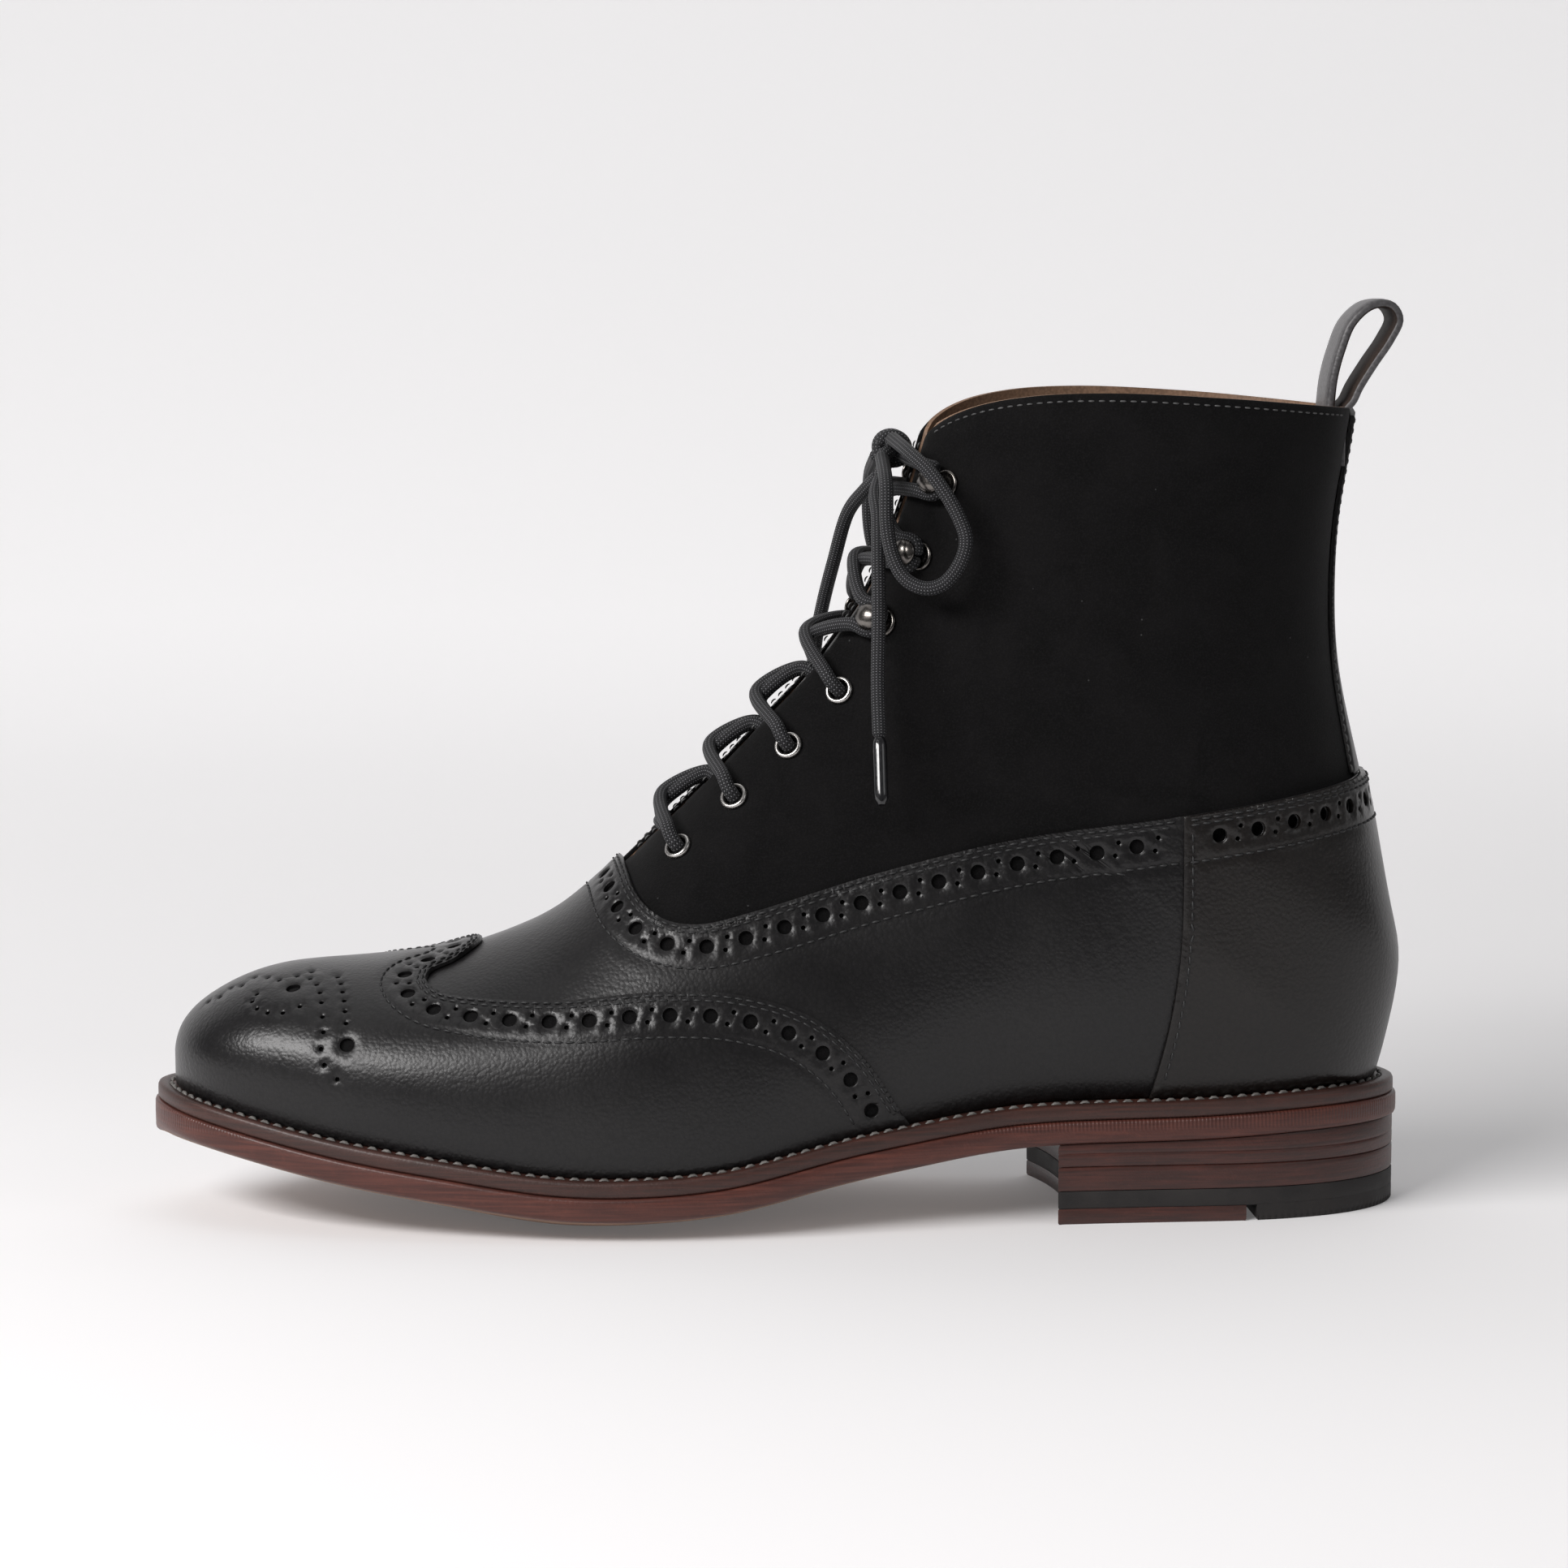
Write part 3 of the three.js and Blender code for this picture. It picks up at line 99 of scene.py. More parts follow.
FOOT = np.array([
    [0, 0.0259, 0.064, 0, 0, 0.6, 2.3, 2, 0], [1, 0.0279, 0.092, 0.19, 0.19, 0.64, 2.3, 2, 0],
    [2, 0.0357, 0.14, 0.375, 0.375, 0.68, 2.4, 2, 0], [3, 0.0574, 0.205, 0.575, 0.565, 0.72, 2.5, 2, 0],
    [4, 0.1016, 0.283, 0.75, 0.745, 0.74, 2.55, 2, 0], [5, 0.1623, 0.332, 0.88, 0.875, 0.75, 2.5, 2, 0],
    [6, 0.2311, 0.386, 0.97, 0.955, 0.76, 2.4, 2, 0], [7, 0.2951, 0.472, 1.02, 0.965, 0.77, 2.25, 2, 0],
    [8, 0.3443, 0.558, 1.025, 0.915, 0.77, 2.1, 2, 0], [9.5, 0.405, 0.685, 0.95, 0.815, 0.75, 1.95, 2, 0],
    [11, 0.451, 0.76, 0.845, 0.765, 0.72, 1.9, 2, 0], [12.5, 0.4823, 0.824, 0.795, 0.755, 0.68, 1.9, 2, 0.05],
    [14, 0.5052, 0.889, 0.78, 0.764, 0.65, 1.9, 2.1, 0.12],
    [16, 0.5229, 0.936, 0.777, 0.768, 0.62, 1.9, 2.3, 0.35],
    [17.5, 0.5325, 0.97, 0.78, 0.773, 0.61, 1.95, 2.5, 0.7], [19, 0.54, 1, 0.784, 0.777, 0.6, 2, 2.6, 1],
])
SHANK = np.array([
    [0.9905, 0.147, 0.5492, 0.07, 0.964, 0.956, 0.6, 2, 2.6],
    [0.9855, 0.235, 0.5547, 0.114, 0.968, 0.962, 0.6, 2, 2.6],
    [0.9754, 0.331, 0.5607, 0.161, 0.972, 0.967, 0.59, 2, 2.5],
    [0.9656, 0.429, 0.5673, 0.225, 0.975, 0.97, 0.58, 2, 2.5],
    [0.9525, 0.533, 0.575, 0.319, 0.978, 0.972, 0.57, 2, 2.4],
    [0.9423, 0.631, 0.5831, 0.432, 0.98, 0.975, 0.56, 2, 2.4],
    [0.9397, 0.735, 0.5915, 0.563, 0.983, 0.978, 0.55, 2, 2.3],
    [0.9426, 0.839, 0.5996, 0.7, 0.988, 0.984, 0.55, 2, 2.3],
    [0.9498, 0.928, 0.6075, 0.863, 0.994, 0.99, 0.55, 2, 2.2],
    [0.9575, 1.03, 0.622, 1.13, 1, 1, 0.55, 2, 2.2],
])
BAND = [[0.35, 0.82], [0.3725, 0.65], [0.382, 0.59], [0.4, 0.545], [0.428, 0.528], [0.474, 0.537],
        [0.572, 0.561], [0.68, 0.59], [0.806, 0.63], [1.02, 0.71]]
WING = [[0.2719, 0.47], [0.2387, 0.408], [0.2187, 0.377], [0.2165, 0.362], [0.226, 0.348], [0.255, 0.352],
        [0.32, 0.376], [0.4, 0.397], [0.46, 0.371], [0.515, 0.289], [0.555, 0.178], [0.59, 0.02],
        [0.61, -0.06]]
COUNTER = [[0.807, 0.75], [0.807, 0.35], [0.8, 0.18], [0.782, -0.05]]
COLLAR = [[0.6, 0.9], [0.61, 0.955], [0.6246, 0.985], [0.65, 1.008], [0.69, 1.023], [0.75, 1.028],
          [0.84, 1.02], [0.92, 1.007], [1, 0.992]]
FITTINGS = [[0.096, 0.7], [0.224, 0.87], [0.35, 1.07], [0.475, 1.15], [0.612, 1], [0.728, 1.05],
            [0.853, 1.05]]
LOOP = [[-0.31, -0.514], [-0.235, -0.014], [-0.2, 0.307], [-0.135, 0.557], [-0.039, 0.789], [0.132, 0.936],
        [0.296, 0.936], [0.368, 0.818], [0.293, 0.643], [0.154, 0.436], [0.025, 0.229], [-0.032, 0.11]]
BOW = [[-0.02, -0.08, 0.185], [0.08, 0.02, 0.6], [0.22, 0.17, 0.82], [0.38, 0.44, 0.94], [0.43, 0.61, 0.97],
       [0.38, 0.78, 0.97], [0.27, 0.91, 0.95], [0.15, 0.94, 0.92], [0.02, 0.88, 0.86], [-0.06, 0.74, 0.8],
       [-0.1, 0.52, 0.74], [-0.1, 0.24, 0.66], [-0.09, 0.05, 0.185]]
NEAR_END = [[-0.09, 0.21, 0.08], [-0.14, 0.32, 0.27], [-0.14, 0.46, 0.46], [-0.155, 0.8, 0.68],
            [-0.16, 1.14, 0.78], [-0.18, 1.61, 0.94], [-0.18, 1.97, 1.07]]
FAR_END = [[-0.08, 0.19, 0.06], [-0.17, 0.3, 0.18], [-0.28, 0.47, 0.36], [-0.37, 0.84, 0.56],
           [-0.43, 1.15, 0.76], [-0.47, 1.42, 0.9], [-0.5, 1.8, 1.03]]


def spline(values, level_start=False, level_end=False):
    """Cubic through values at 0, 1, 2 and so on, level or free at its ends."""
    v = np.asarray(values, float)
    n = len(v)
    m = np.eye(n)
    load = np.zeros(n)
    for i in range(1, n - 1):
        m[i, i - 1:i + 2] = 1, 4, 1
        load[i] = 6 * (v[i + 1] - 2 * v[i] + v[i - 1])
    if level_start:
        m[0, :2] = 2, 1
        load[0] = 6 * (v[1] - v[0])
    if level_end:
        m[-1, -2:] = 1, 2
        load[-1] = 6 * (v[-2] - v[-1])
    bend = np.linalg.solve(m, load)

    def at(where):
        where = np.asarray(where, float)
        i = np.clip(np.floor(where).astype(int), 0, n - 2)
        f = where - i
        g = 1 - f
        return g * v[i] + f * v[i + 1] + ((g**3 - g) * bend[i] + (f**3 - f) * bend[i + 1]) / 6

    return at


def lengths_along(points):
    """Distance from the first point to each, along the line."""
    return np.concatenate([[0], np.cumsum(np.linalg.norm(np.diff(points, axis=0), axis=1))])


def along(share):
    return np.asarray(share) * LENGTH - LENGTH / 2


def ease(x):
    x = np.clip(x, 0, 1)
    return x * x * (3 - 2 * x)


# Sole
HEEL_END = len(SOLE) - 1
sole_x = spline(SOLE[:, 0], True, True)
sole_sides = [spline(SOLE[:, 1]), spline(SOLE[:, 2])]
sole_turn, sole_crown, sole_spring = (spline(SOLE[:, k], True) for k in (3, 4, 5))
sole_pitch = spline(SOLE[:, 6], True, True)
even_rows = np.linspace(0, HEEL_END, 6001)
even_x = along(sole_x(even_rows))


def row_at(x):
    return np.interp(x, even_x, even_rows)


def edge_at(row):
    return CROWN * sole_crown(row) + SPRING * sole_spring(row) + PITCH * sole_pitch(row)


def outsole_top(x):
    return edge_at(row_at(x)) + OUTSOLE


def welt_top(x):
    return outsole_top(x) + GAP + WELT


def dish(x, y):
    row = row_at(x)
    centre = TOE_TURN * sole_turn(row)
    half = np.maximum(BALL / 2 * np.where(y < centre, sole_sides[0](row), sole_sides[1](row)), 1)
    share = np.minimum(1, np.abs(y - centre) / half)
    return CROWN * np.maximum(0, sole_crown(row)) * (1 - share**2.6)


def underside(x, y):
    return np.maximum(0, edge_at(row_at(x)) - 1.07 * dish(x, y))


def rim(row, side, inset=0.0):
    """Plan of the sole's outline on a side, moved inwards."""
    row = np.asarray(row, float)

    def place(at):
        half = BALL / 2 * (sole_sides[0](at) if side < 0 else sole_sides[1](at))
        return np.stack([along(sole_x(at)), TOE_TURN * sole_turn(at) + side * half], -1)

    d = place(np.minimum(row + 0.02, HEEL_END)) - place(np.maximum(row - 0.02, 0))
    n = np.stack([-side * d[..., 1], side * d[..., 0]], -1)
    n = np.where((row < 0.02)[..., None], [-1.0, 0.0], n)
    n = np.where((row > HEEL_END - 0.02)[..., None], [1.0, 0.0], n)
    return place(row) - inset * n / np.linalg.norm(n, axis=-1, keepdims=True)


# Last
FOOT_END = len(FOOT) - 1
TOP = FOOT_END + len(SHANK)
SEAT = float(welt_top(LENGTH / 2)) + GAP


def through(a, b, level=False):
    return spline(np.concatenate([a, b]), level)


last_seat = spline(FOOT[:, 0])
ridge_x = through(along(FOOT[:, 1]), along(SHANK[:, 2]), True)
foot_rise = welt_top(along(sole_x(FOOT[:, 0]))) + GAP + FOOT[:, 2] * INSTEP
ridge_z = through(foot_rise, SEAT + INSTEP + (LEG - INSTEP) * SHANK[:, 3], True)
last_half = [through(FOOT[:, 3 + k] * LAST_WIDTH / 2, SHANK[:, 4 + k] * LEG_WIDTH / 2) for k in (0, 1)]
last_widest, last_crest, last_under = (through(FOOT[:, 5 + k], SHANK[:, 6 + k]) for k in (0, 1, 2))
last_round = through(FOOT[:, 8], np.ones(len(SHANK)))
back_x = spline(np.concatenate([[LENGTH / 2 - FEATHER], along(SHANK[:, 0])]))
back_z = spline(np.concatenate([[SEAT], SEAT + SHANK[:, 1] * LEG]))


def last(row, girth):
    row, girth = np.broadcast_arrays(np.asarray(row, float), np.asarray(girth, float))
    on_foot = (row < FOOT_END - 1e-6)[..., None]
    seat = np.clip(last_seat(row), 0, HEEL_END)
    centre = np.where(on_foot[..., 0], TOE_TURN * sole_turn(seat), 0.0)
    back = np.stack([back_x(row - FOOT_END), 0 * row, back_z(row - FOOT_END)], -1)
    feet = []
    for side in (-1, 1):
        plan = rim(seat, side, FEATHER)
        foot = np.concatenate([plan, (welt_top(plan[..., 0]) + GAP)[..., None]], -1)
        feet.append(np.where(on_foot, foot, back))
    keel = (feet[0] + feet[1]) / 2
    keel[..., 1] = centre
    outer = girth < 0
    side = np.where(outer, -1.0, 1.0)
    foot = np.where(outer[..., None], feet[0], feet[1])
    half = np.where(outer, last_half[0](row), last_half[1](row))
    foot_half = side * (foot[..., 1] - keel[..., 1])
    widest, round_ = last_widest(row), np.clip(last_round(row), 0, 1)
    turn = np.abs(girth)
    crest = 0.68 - 0.16 * round_
    c = np.cos(np.minimum(turn / crest, 1) * math.pi / 2)
    over = half * np.sqrt(np.maximum(0, 1 - np.clip(c, 0, 1) ** last_crest(row)))
    even = np.clip((turn - crest) / (1 - crest), 0, 1)
    share = even + (np.sin(even * math.pi / 2) - even) * round_
    under = np.maximum(0, 1 - share ** last_under(row)) ** (1 - round_ / 2)
    above = turn <= crest
    down = np.where(above, widest * (1 - c), widest + (1 - widest) * share)
    width = np.where(above, over, foot_half + (half - foot_half) * under)
    ridge = np.stack([ridge_x(row), centre, ridge_z(row)], -1)
    p = ridge + (keel - ridge) * down[..., None] + (foot - keel) * (down**3)[..., None]
    p[..., 1] = keel[..., 1] + side * width
    return p


def unevenness(p):
    """Slow waves of lasted leather, and faint wrinkles on the outer quarter, in millimetres."""
    x, y, z = p[..., 0], p[..., 1], p[..., 2]
    slow = 0.1 * np.sin(x / 17 + 1.3) * np.sin(z / 14 + 0.4)
    slow += 0.07 * np.sin(x / 9.5 + y / 13) * np.sin(z / 10)
    spot = np.exp(-((x - 71) / 10) ** 2 - ((z - 66) / 11) ** 2) * (y < 0)
    return slow + 0.09 * spot * np.sin((x + 0.4 * z) / 0.8)


def surface(row, girth, out=0.0):
    """Points at a distance out from the last, and their normals. The lowest edge rests on the welt."""
    row, girth = np.broadcast_arrays(np.asarray(row, float), np.asarray(girth, float))
    r, g = 0.01, 0.004
    by_row = last(np.minimum(row + r, TOP), girth) - last(np.maximum(row - r, 0), girth)
    by_girth = last(row, np.minimum(girth + g, 1)) - last(row, np.maximum(girth - g, -1))
    n = np.cross(by_row, by_girth)
    hem = ease((np.abs(girth) - 0.88) / 0.12) * ease((15.7 - row) / 0.7)
    n[..., 2] *= 1 - hem
    seam = (row < 1e-6) | ((np.abs(girth) > 1 - 1e-9) & (row > FOOT_END - 1e-6))
    n[..., 1] = np.where(seam, 0, n[..., 1])
    n /= np.linalg.norm(n, axis=-1, keepdims=True) + 1e-12
    p = last(row, girth)
    p = p + n * (out + unevenness(p))[..., None]
    p[..., 2] -= 0.2 * hem
    return p, n


# Flat pattern of the last, for meshing: along it and round it, in millimetres
pattern_rows = np.linspace(0, TOP, 501)
pattern = last(pattern_rows[:, None], np.linspace(-1, 1, 41)[None, :])
pattern_u = np.concatenate([[0], np.cumsum(np.linalg.norm(np.diff(pattern, axis=0), axis=-1).mean(1))])
pattern_half = np.linalg.norm(np.diff(pattern, axis=1), axis=-1).sum(1) / 2


def to_flat(line):
    return np.stack([np.interp(line[:, 0], pattern_rows, pattern_u),
                     line[:, 1] * np.interp(line[:, 0], pattern_rows, pattern_half)], -1)


def from_flat(flat):
    row = np.interp(flat[:, 0], pattern_u, pattern_rows)
    girth = np.clip(flat[:, 1] / np.interp(row, pattern_rows, pattern_half), -1, 1)
    girth = np.where(np.abs(girth) > 1 - 2e-5, np.sign(girth), girth)
    return np.stack([np.where(row < 1e-4, 0, row), girth], -1)


def walk(line, move, out):
    """Rows and girths after a small move over the surface."""
    row, girth = line[..., 0], line[..., 1]
    r0, r1 = np.maximum(row - 0.02, 0), np.minimum(row + 0.02, TOP)
    g0, g1 = np.maximum(girth - 0.004, -1), np.minimum(girth + 0.004, 1)
    a = (surface(r1, girth, out)[0] - surface(r0, girth, out)[0]) / (r1 - r0)[..., None]
    b = (surface(row, g1, out)[0] - surface(row, g0, out)[0]) / (g1 - g0)[..., None]
    aa, ab, bb = (a * a).sum(-1), (a * b).sum(-1), (b * b).sum(-1)
    am, bm = (a * move).sum(-1), (b * move).sum(-1)
    det = aa * bb - ab * ab
    ahead = np.clip((am * bb - bm * ab) / det, -0.4, 0.4)
    round_it = np.clip((bm * aa - am * ab) / det, -0.06, 0.06)
    return np.stack([np.clip(row + ahead, 0, TOP), np.clip(girth + round_it, -1, 1)], -1)


def smooth_line(points, step):
    """Evenly spaced points on a smooth curve through the given ones."""
    p = np.asarray(points, float)
    p = np.vstack([2 * p[0] - p[1], p, 2 * p[-1] - p[-2]])
    t = np.concatenate([[0], np.cumsum(np.linalg.norm(np.diff(p, axis=0), axis=1) ** 0.5)])
    dense = []
    for i in range(1, len(p) - 2):
        s = np.linspace(t[i], t[i + 1], 24, endpoint=False)[:, None]

        def mix(a, b, k, m):
            return a + (b - a) * (s - t[k]) / (t[m] - t[k])

        a1, a2, a3 = (mix(p[k], p[k + 1], k, k + 1) for k in (i - 1, i, i + 1))
        b1, b2 = mix(a1, a2, i - 1, i + 1), mix(a2, a3, i, i + 2)
        dense.append(mix(b1, b2, i, i + 1))
    return even_line(np.vstack(dense + [p[-2:-1]]), step)


def even_line(line, step):
    length = lengths_along(line)
    where = np.linspace(0, length[-1], max(2, round(length[-1] / step) + 1))
    return np.stack([np.interp(where, length, line[:, k]) for k in range(line.shape[1])], -1)


def seam(points, height):
    placed = [[along(share), height(float(along(share)), up)] for share, up in points]
    return smooth_line(placed, 1.5)


def over_welt(x, up):
    return float(welt_top(np.clip(x, -LENGTH / 2, LENGTH / 2))) + up * INSTEP


def over_seat(x, up):
    return SEAT + up * LEG


def locate(target, side, out, project):
    """Rows and girths of the surface points on one side whose projection is at target."""
    rows, girths = np.meshgrid(np.linspace(0.2, TOP - 0.1, 130), side * np.linspace(0.01, 0.99, 70))
    seen = project(surface(rows.ravel(), girths.ravel(), out)[0])
    nearest = [int(np.argmin(((seen - t) ** 2).sum(-1))) for t in target]
    line = np.stack([rows.ravel()[nearest], girths.ravel()[nearest]], -1)
    for _ in range(14):
        row, girth = line.T
        here = project(surface(row, girth, out)[0])
        a = (project(surface(row + 0.01, girth, out)[0]) - here) / 0.01
        b = (project(surface(row, girth - side * 0.002, out)[0]) - here) / (-side * 0.002)
        miss = target - here
        det = a[:, 0] * b[:, 1] - a[:, 1] * b[:, 0]
        det = np.where(np.abs(det) < 1e-9, 1e-9, det)
        row = row + np.clip((miss[:, 0] * b[:, 1] - miss[:, 1] * b[:, 0]) / det, -0.5, 0.5)
        girth = girth + np.clip((a[:, 0] * miss[:, 1] - a[:, 1] * miss[:, 0]) / det, -0.06, 0.06)
        line = np.stack([np.clip(row, 0, TOP - 0.02), side * np.clip(side * girth, 0.003, 0.997)], -1)
    return line


def side_view(p):
    return p[..., [0, 2]]


def trace(curve, side, out):
    """A side view line on one side of the boot, cut off at the instep, the back and the lower edge."""
    rows, low, high = np.linspace(0, TOP, 900), np.linspace(0, FOOT_END, 600), np.linspace(FOOT_END, TOP, 400)
    ridge = surface(rows, 0 * rows, out)[0]
    hem = surface(low, side + 0 * low, out)[0]
    back = surface(high, side + 0 * high, out)[0]
    x, z = curve.T
    beyond = np.stack([z - np.interp(x, ridge[:, 0], ridge[:, 2]),
                       x - np.interp(z, back[:, 2], back[:, 0]),
                       np.interp(x, hem[:, 0], hem[:, 2]) - z])
    within = (beyond < 0).all(0)
    runs, start = [], None
    for k, fine in enumerate([*within, False]):
        if fine and start is None:
            start = k
        elif not fine and start is not None:
            runs.append((start, k))
            start = None
    first, end = max(runs, key=lambda run: run[1] - run[0])

    def crossing(i, o):
        kinds = [k for k in range(3) if beyond[k, o] >= 0]
        share, kind = min((beyond[k, i] / (beyond[k, i] - beyond[k, o]), k) for k in kinds)
        px, pz = curve[i] + share * (curve[o] - curve[i])
        if kind == 0:
            return [[np.interp(px, ridge[:, 0], rows), 0.0]]
        if kind == 1:
            return [[np.interp(pz, back[:, 2], high), float(side)]]
        return [[np.interp(px, hem[:, 0], low), float(side)]]

    parts = [locate(curve[first:end], side, out, side_view)]
    if first > 0:
        parts.insert(0, crossing(first, first - 1))
    if end < len(curve):
        parts.append(crossing(end - 1, end))
    return np.vstack(parts)


def on_surface(line, out):
    return surface(line[:, 0], line[:, 1], out)


def spaced(line, pitch, out, start=0.5):
    """Places at an even pitch along a line, the first a share of the pitch from its start."""
    p = on_surface(line, out)[0]
    length = lengths_along(p)
    where = np.arange(start * pitch, length[-1], pitch)
    return np.stack([np.interp(where, length, line[:, k]) for k in (0, 1)], -1)


def shifted(line, move, out):
    """Rows and girths nearest to the line's points moved by move, and how far they stay from there."""
    target = surface(line[..., 0], line[..., 1], out)[0] + move
    for _ in range(6):
        line = walk(line, target - surface(line[..., 0], line[..., 1], out)[0], out)
    return line, np.linalg.norm(target - surface(line[..., 0], line[..., 1], out)[0], axis=-1)


def beside(line, distance, out):
    """The line moved over the surface, to its left as seen from outside."""
    steps = max(1, round(abs(distance) / 1.8))
    for _ in range(steps):
        p = on_surface(line, out)[0]
        length = lengths_along(p)
        where = np.linspace(0, length[-1], max(4, round(length[-1] / 1.2)))
        line = np.stack([np.interp(where, length, line[:, k]) for k in (0, 1)], -1)
        p, n = on_surface(line, out)
        count = np.arange(len(p))
        t = p[np.minimum(count + 2, len(p) - 1)] - p[np.maximum(count - 2, 0)]
        t /= np.linalg.norm(t, axis=1, keepdims=True)
        line, miss = shifted(line, np.cross(n, t) * distance / steps, out)
        line = line[miss < 0.3]
    return line


def circles(centres, radius, count, out):
    """Rows and girths round each centre, truly round on the surface."""
    p, n = on_surface(centres, out)
    r = centres[:, 0]
    e1 = surface(np.minimum(r + 0.01, TOP), centres[:, 1], out)[0]
    e1 -= surface(np.maximum(r - 0.01, 0), centres[:, 1], out)[0]
    e1 /= np.linalg.norm(e1, axis=1, keepdims=True)
    e2 = np.cross(n, e1)
    angles = np.linspace(0, 2 * math.pi, count, endpoint=False)[None, :, None]
    move = radius * (np.cos(angles) * e1[:, None] + np.sin(angles) * e2[:, None])
    loops, miss = shifted(np.repeat(centres[:, None], count, 1), move, out)
    return loops[(miss < 0.25).all(1)]


# Mesh making
def build(name, parts, finishes, nodes, sharp=50, marks=None):
    """One object from parts, each points in millimetres, faces, texture places and a finish number."""
    points, faces, places, numbers = [], [], [], []
    base = 0
    for verts, polygons, uvs, number in parts:
        points.append(verts)
        for k, polygon in enumerate(polygons):
            faces.append([base + int(i) for i in polygon])
            places.extend(uvs[k] if uvs is not None else [(0.0, 0.0)] * len(polygon))
            numbers.append(number if np.isscalar(number) else number[k])
        base += len(verts)
    mesh = bpy.data.meshes.new(name)
    mesh.from_pydata((np.vstack(points) * MM).tolist(), [], faces)
    layer = mesh.uv_layers.new(name="UVMap")
    layer.data.foreach_set("uv", np.asarray(places, np.float32).ravel())
    mesh.polygons.foreach_set("material_index", np.asarray(numbers, np.int32))
    if marks is not None:
        mesh.attributes.new("edge", "FLOAT", "POINT").data.foreach_set("value", marks.astype(np.float32))
    work = bmesh.new()
    work.from_mesh(mesh)
    bmesh.ops.remove_doubles(work, verts=work.verts, dist=2e-6)
    bmesh.ops.recalc_face_normals(work, faces=work.faces)
    work.to_mesh(mesh)
    work.free()
    mesh.polygons.foreach_set("use_smooth", np.ones(len(mesh.polygons), bool))
    mesh.set_sharp_from_angle(angle=math.radians(sharp))
    for finish in finishes:
        mesh.materials.append(finish)
    obj = bpy.data.objects.new(name, mesh)
    bpy.context.collection.objects.link(obj)
    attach(obj, "root")
    if nodes:
        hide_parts(*nodes)
    return obj


def tree_of(points):
    tree = KDTree(len(points))
    for k, p in enumerate(points):
        tree.insert(p, k)
    tree.balance()
    return tree


def distances(points, queries, reach=1e9):
    if not len(points):
        return np.full(len(queries), reach)
    tree = tree_of(points)
    return np.array([min(tree.find(q)[2], reach) for q in queries])


def lifted(flat):
    """Flat points with a height of nought."""
    return np.c_[flat, 0 * flat[:, 0]]


def even_odd(points, loops):
    """Which of the points lie inside an odd number of the loops."""
    starts = np.vstack(loops)
    ends = np.vstack([np.roll(loop, -1, 0) for loop in loops])
    found = []
    for chunk in np.array_split(points, max(1, len(points) // 1500)):
        x, y = chunk[:, :1], chunk[:, 1:]
        crosses = (starts[:, 1] > y) != (ends[:, 1] > y)
        rise = ends[:, 1] - starts[:, 1]
        slope = (ends[:, 0] - starts[:, 0]) / np.where(rise == 0, 1e-12, rise)
        found.append((crosses & (x < starts[:, 0] + (y - starts[:, 1]) * slope)).sum(1) % 2 == 1)
    return np.concatenate(found)


def is_seam(line):
    return (line[:, 0] < 1e-6) | ((np.abs(line[:, 1]) > 1 - 1e-9) & (line[:, 0] > FOOT_END - 1e-6))


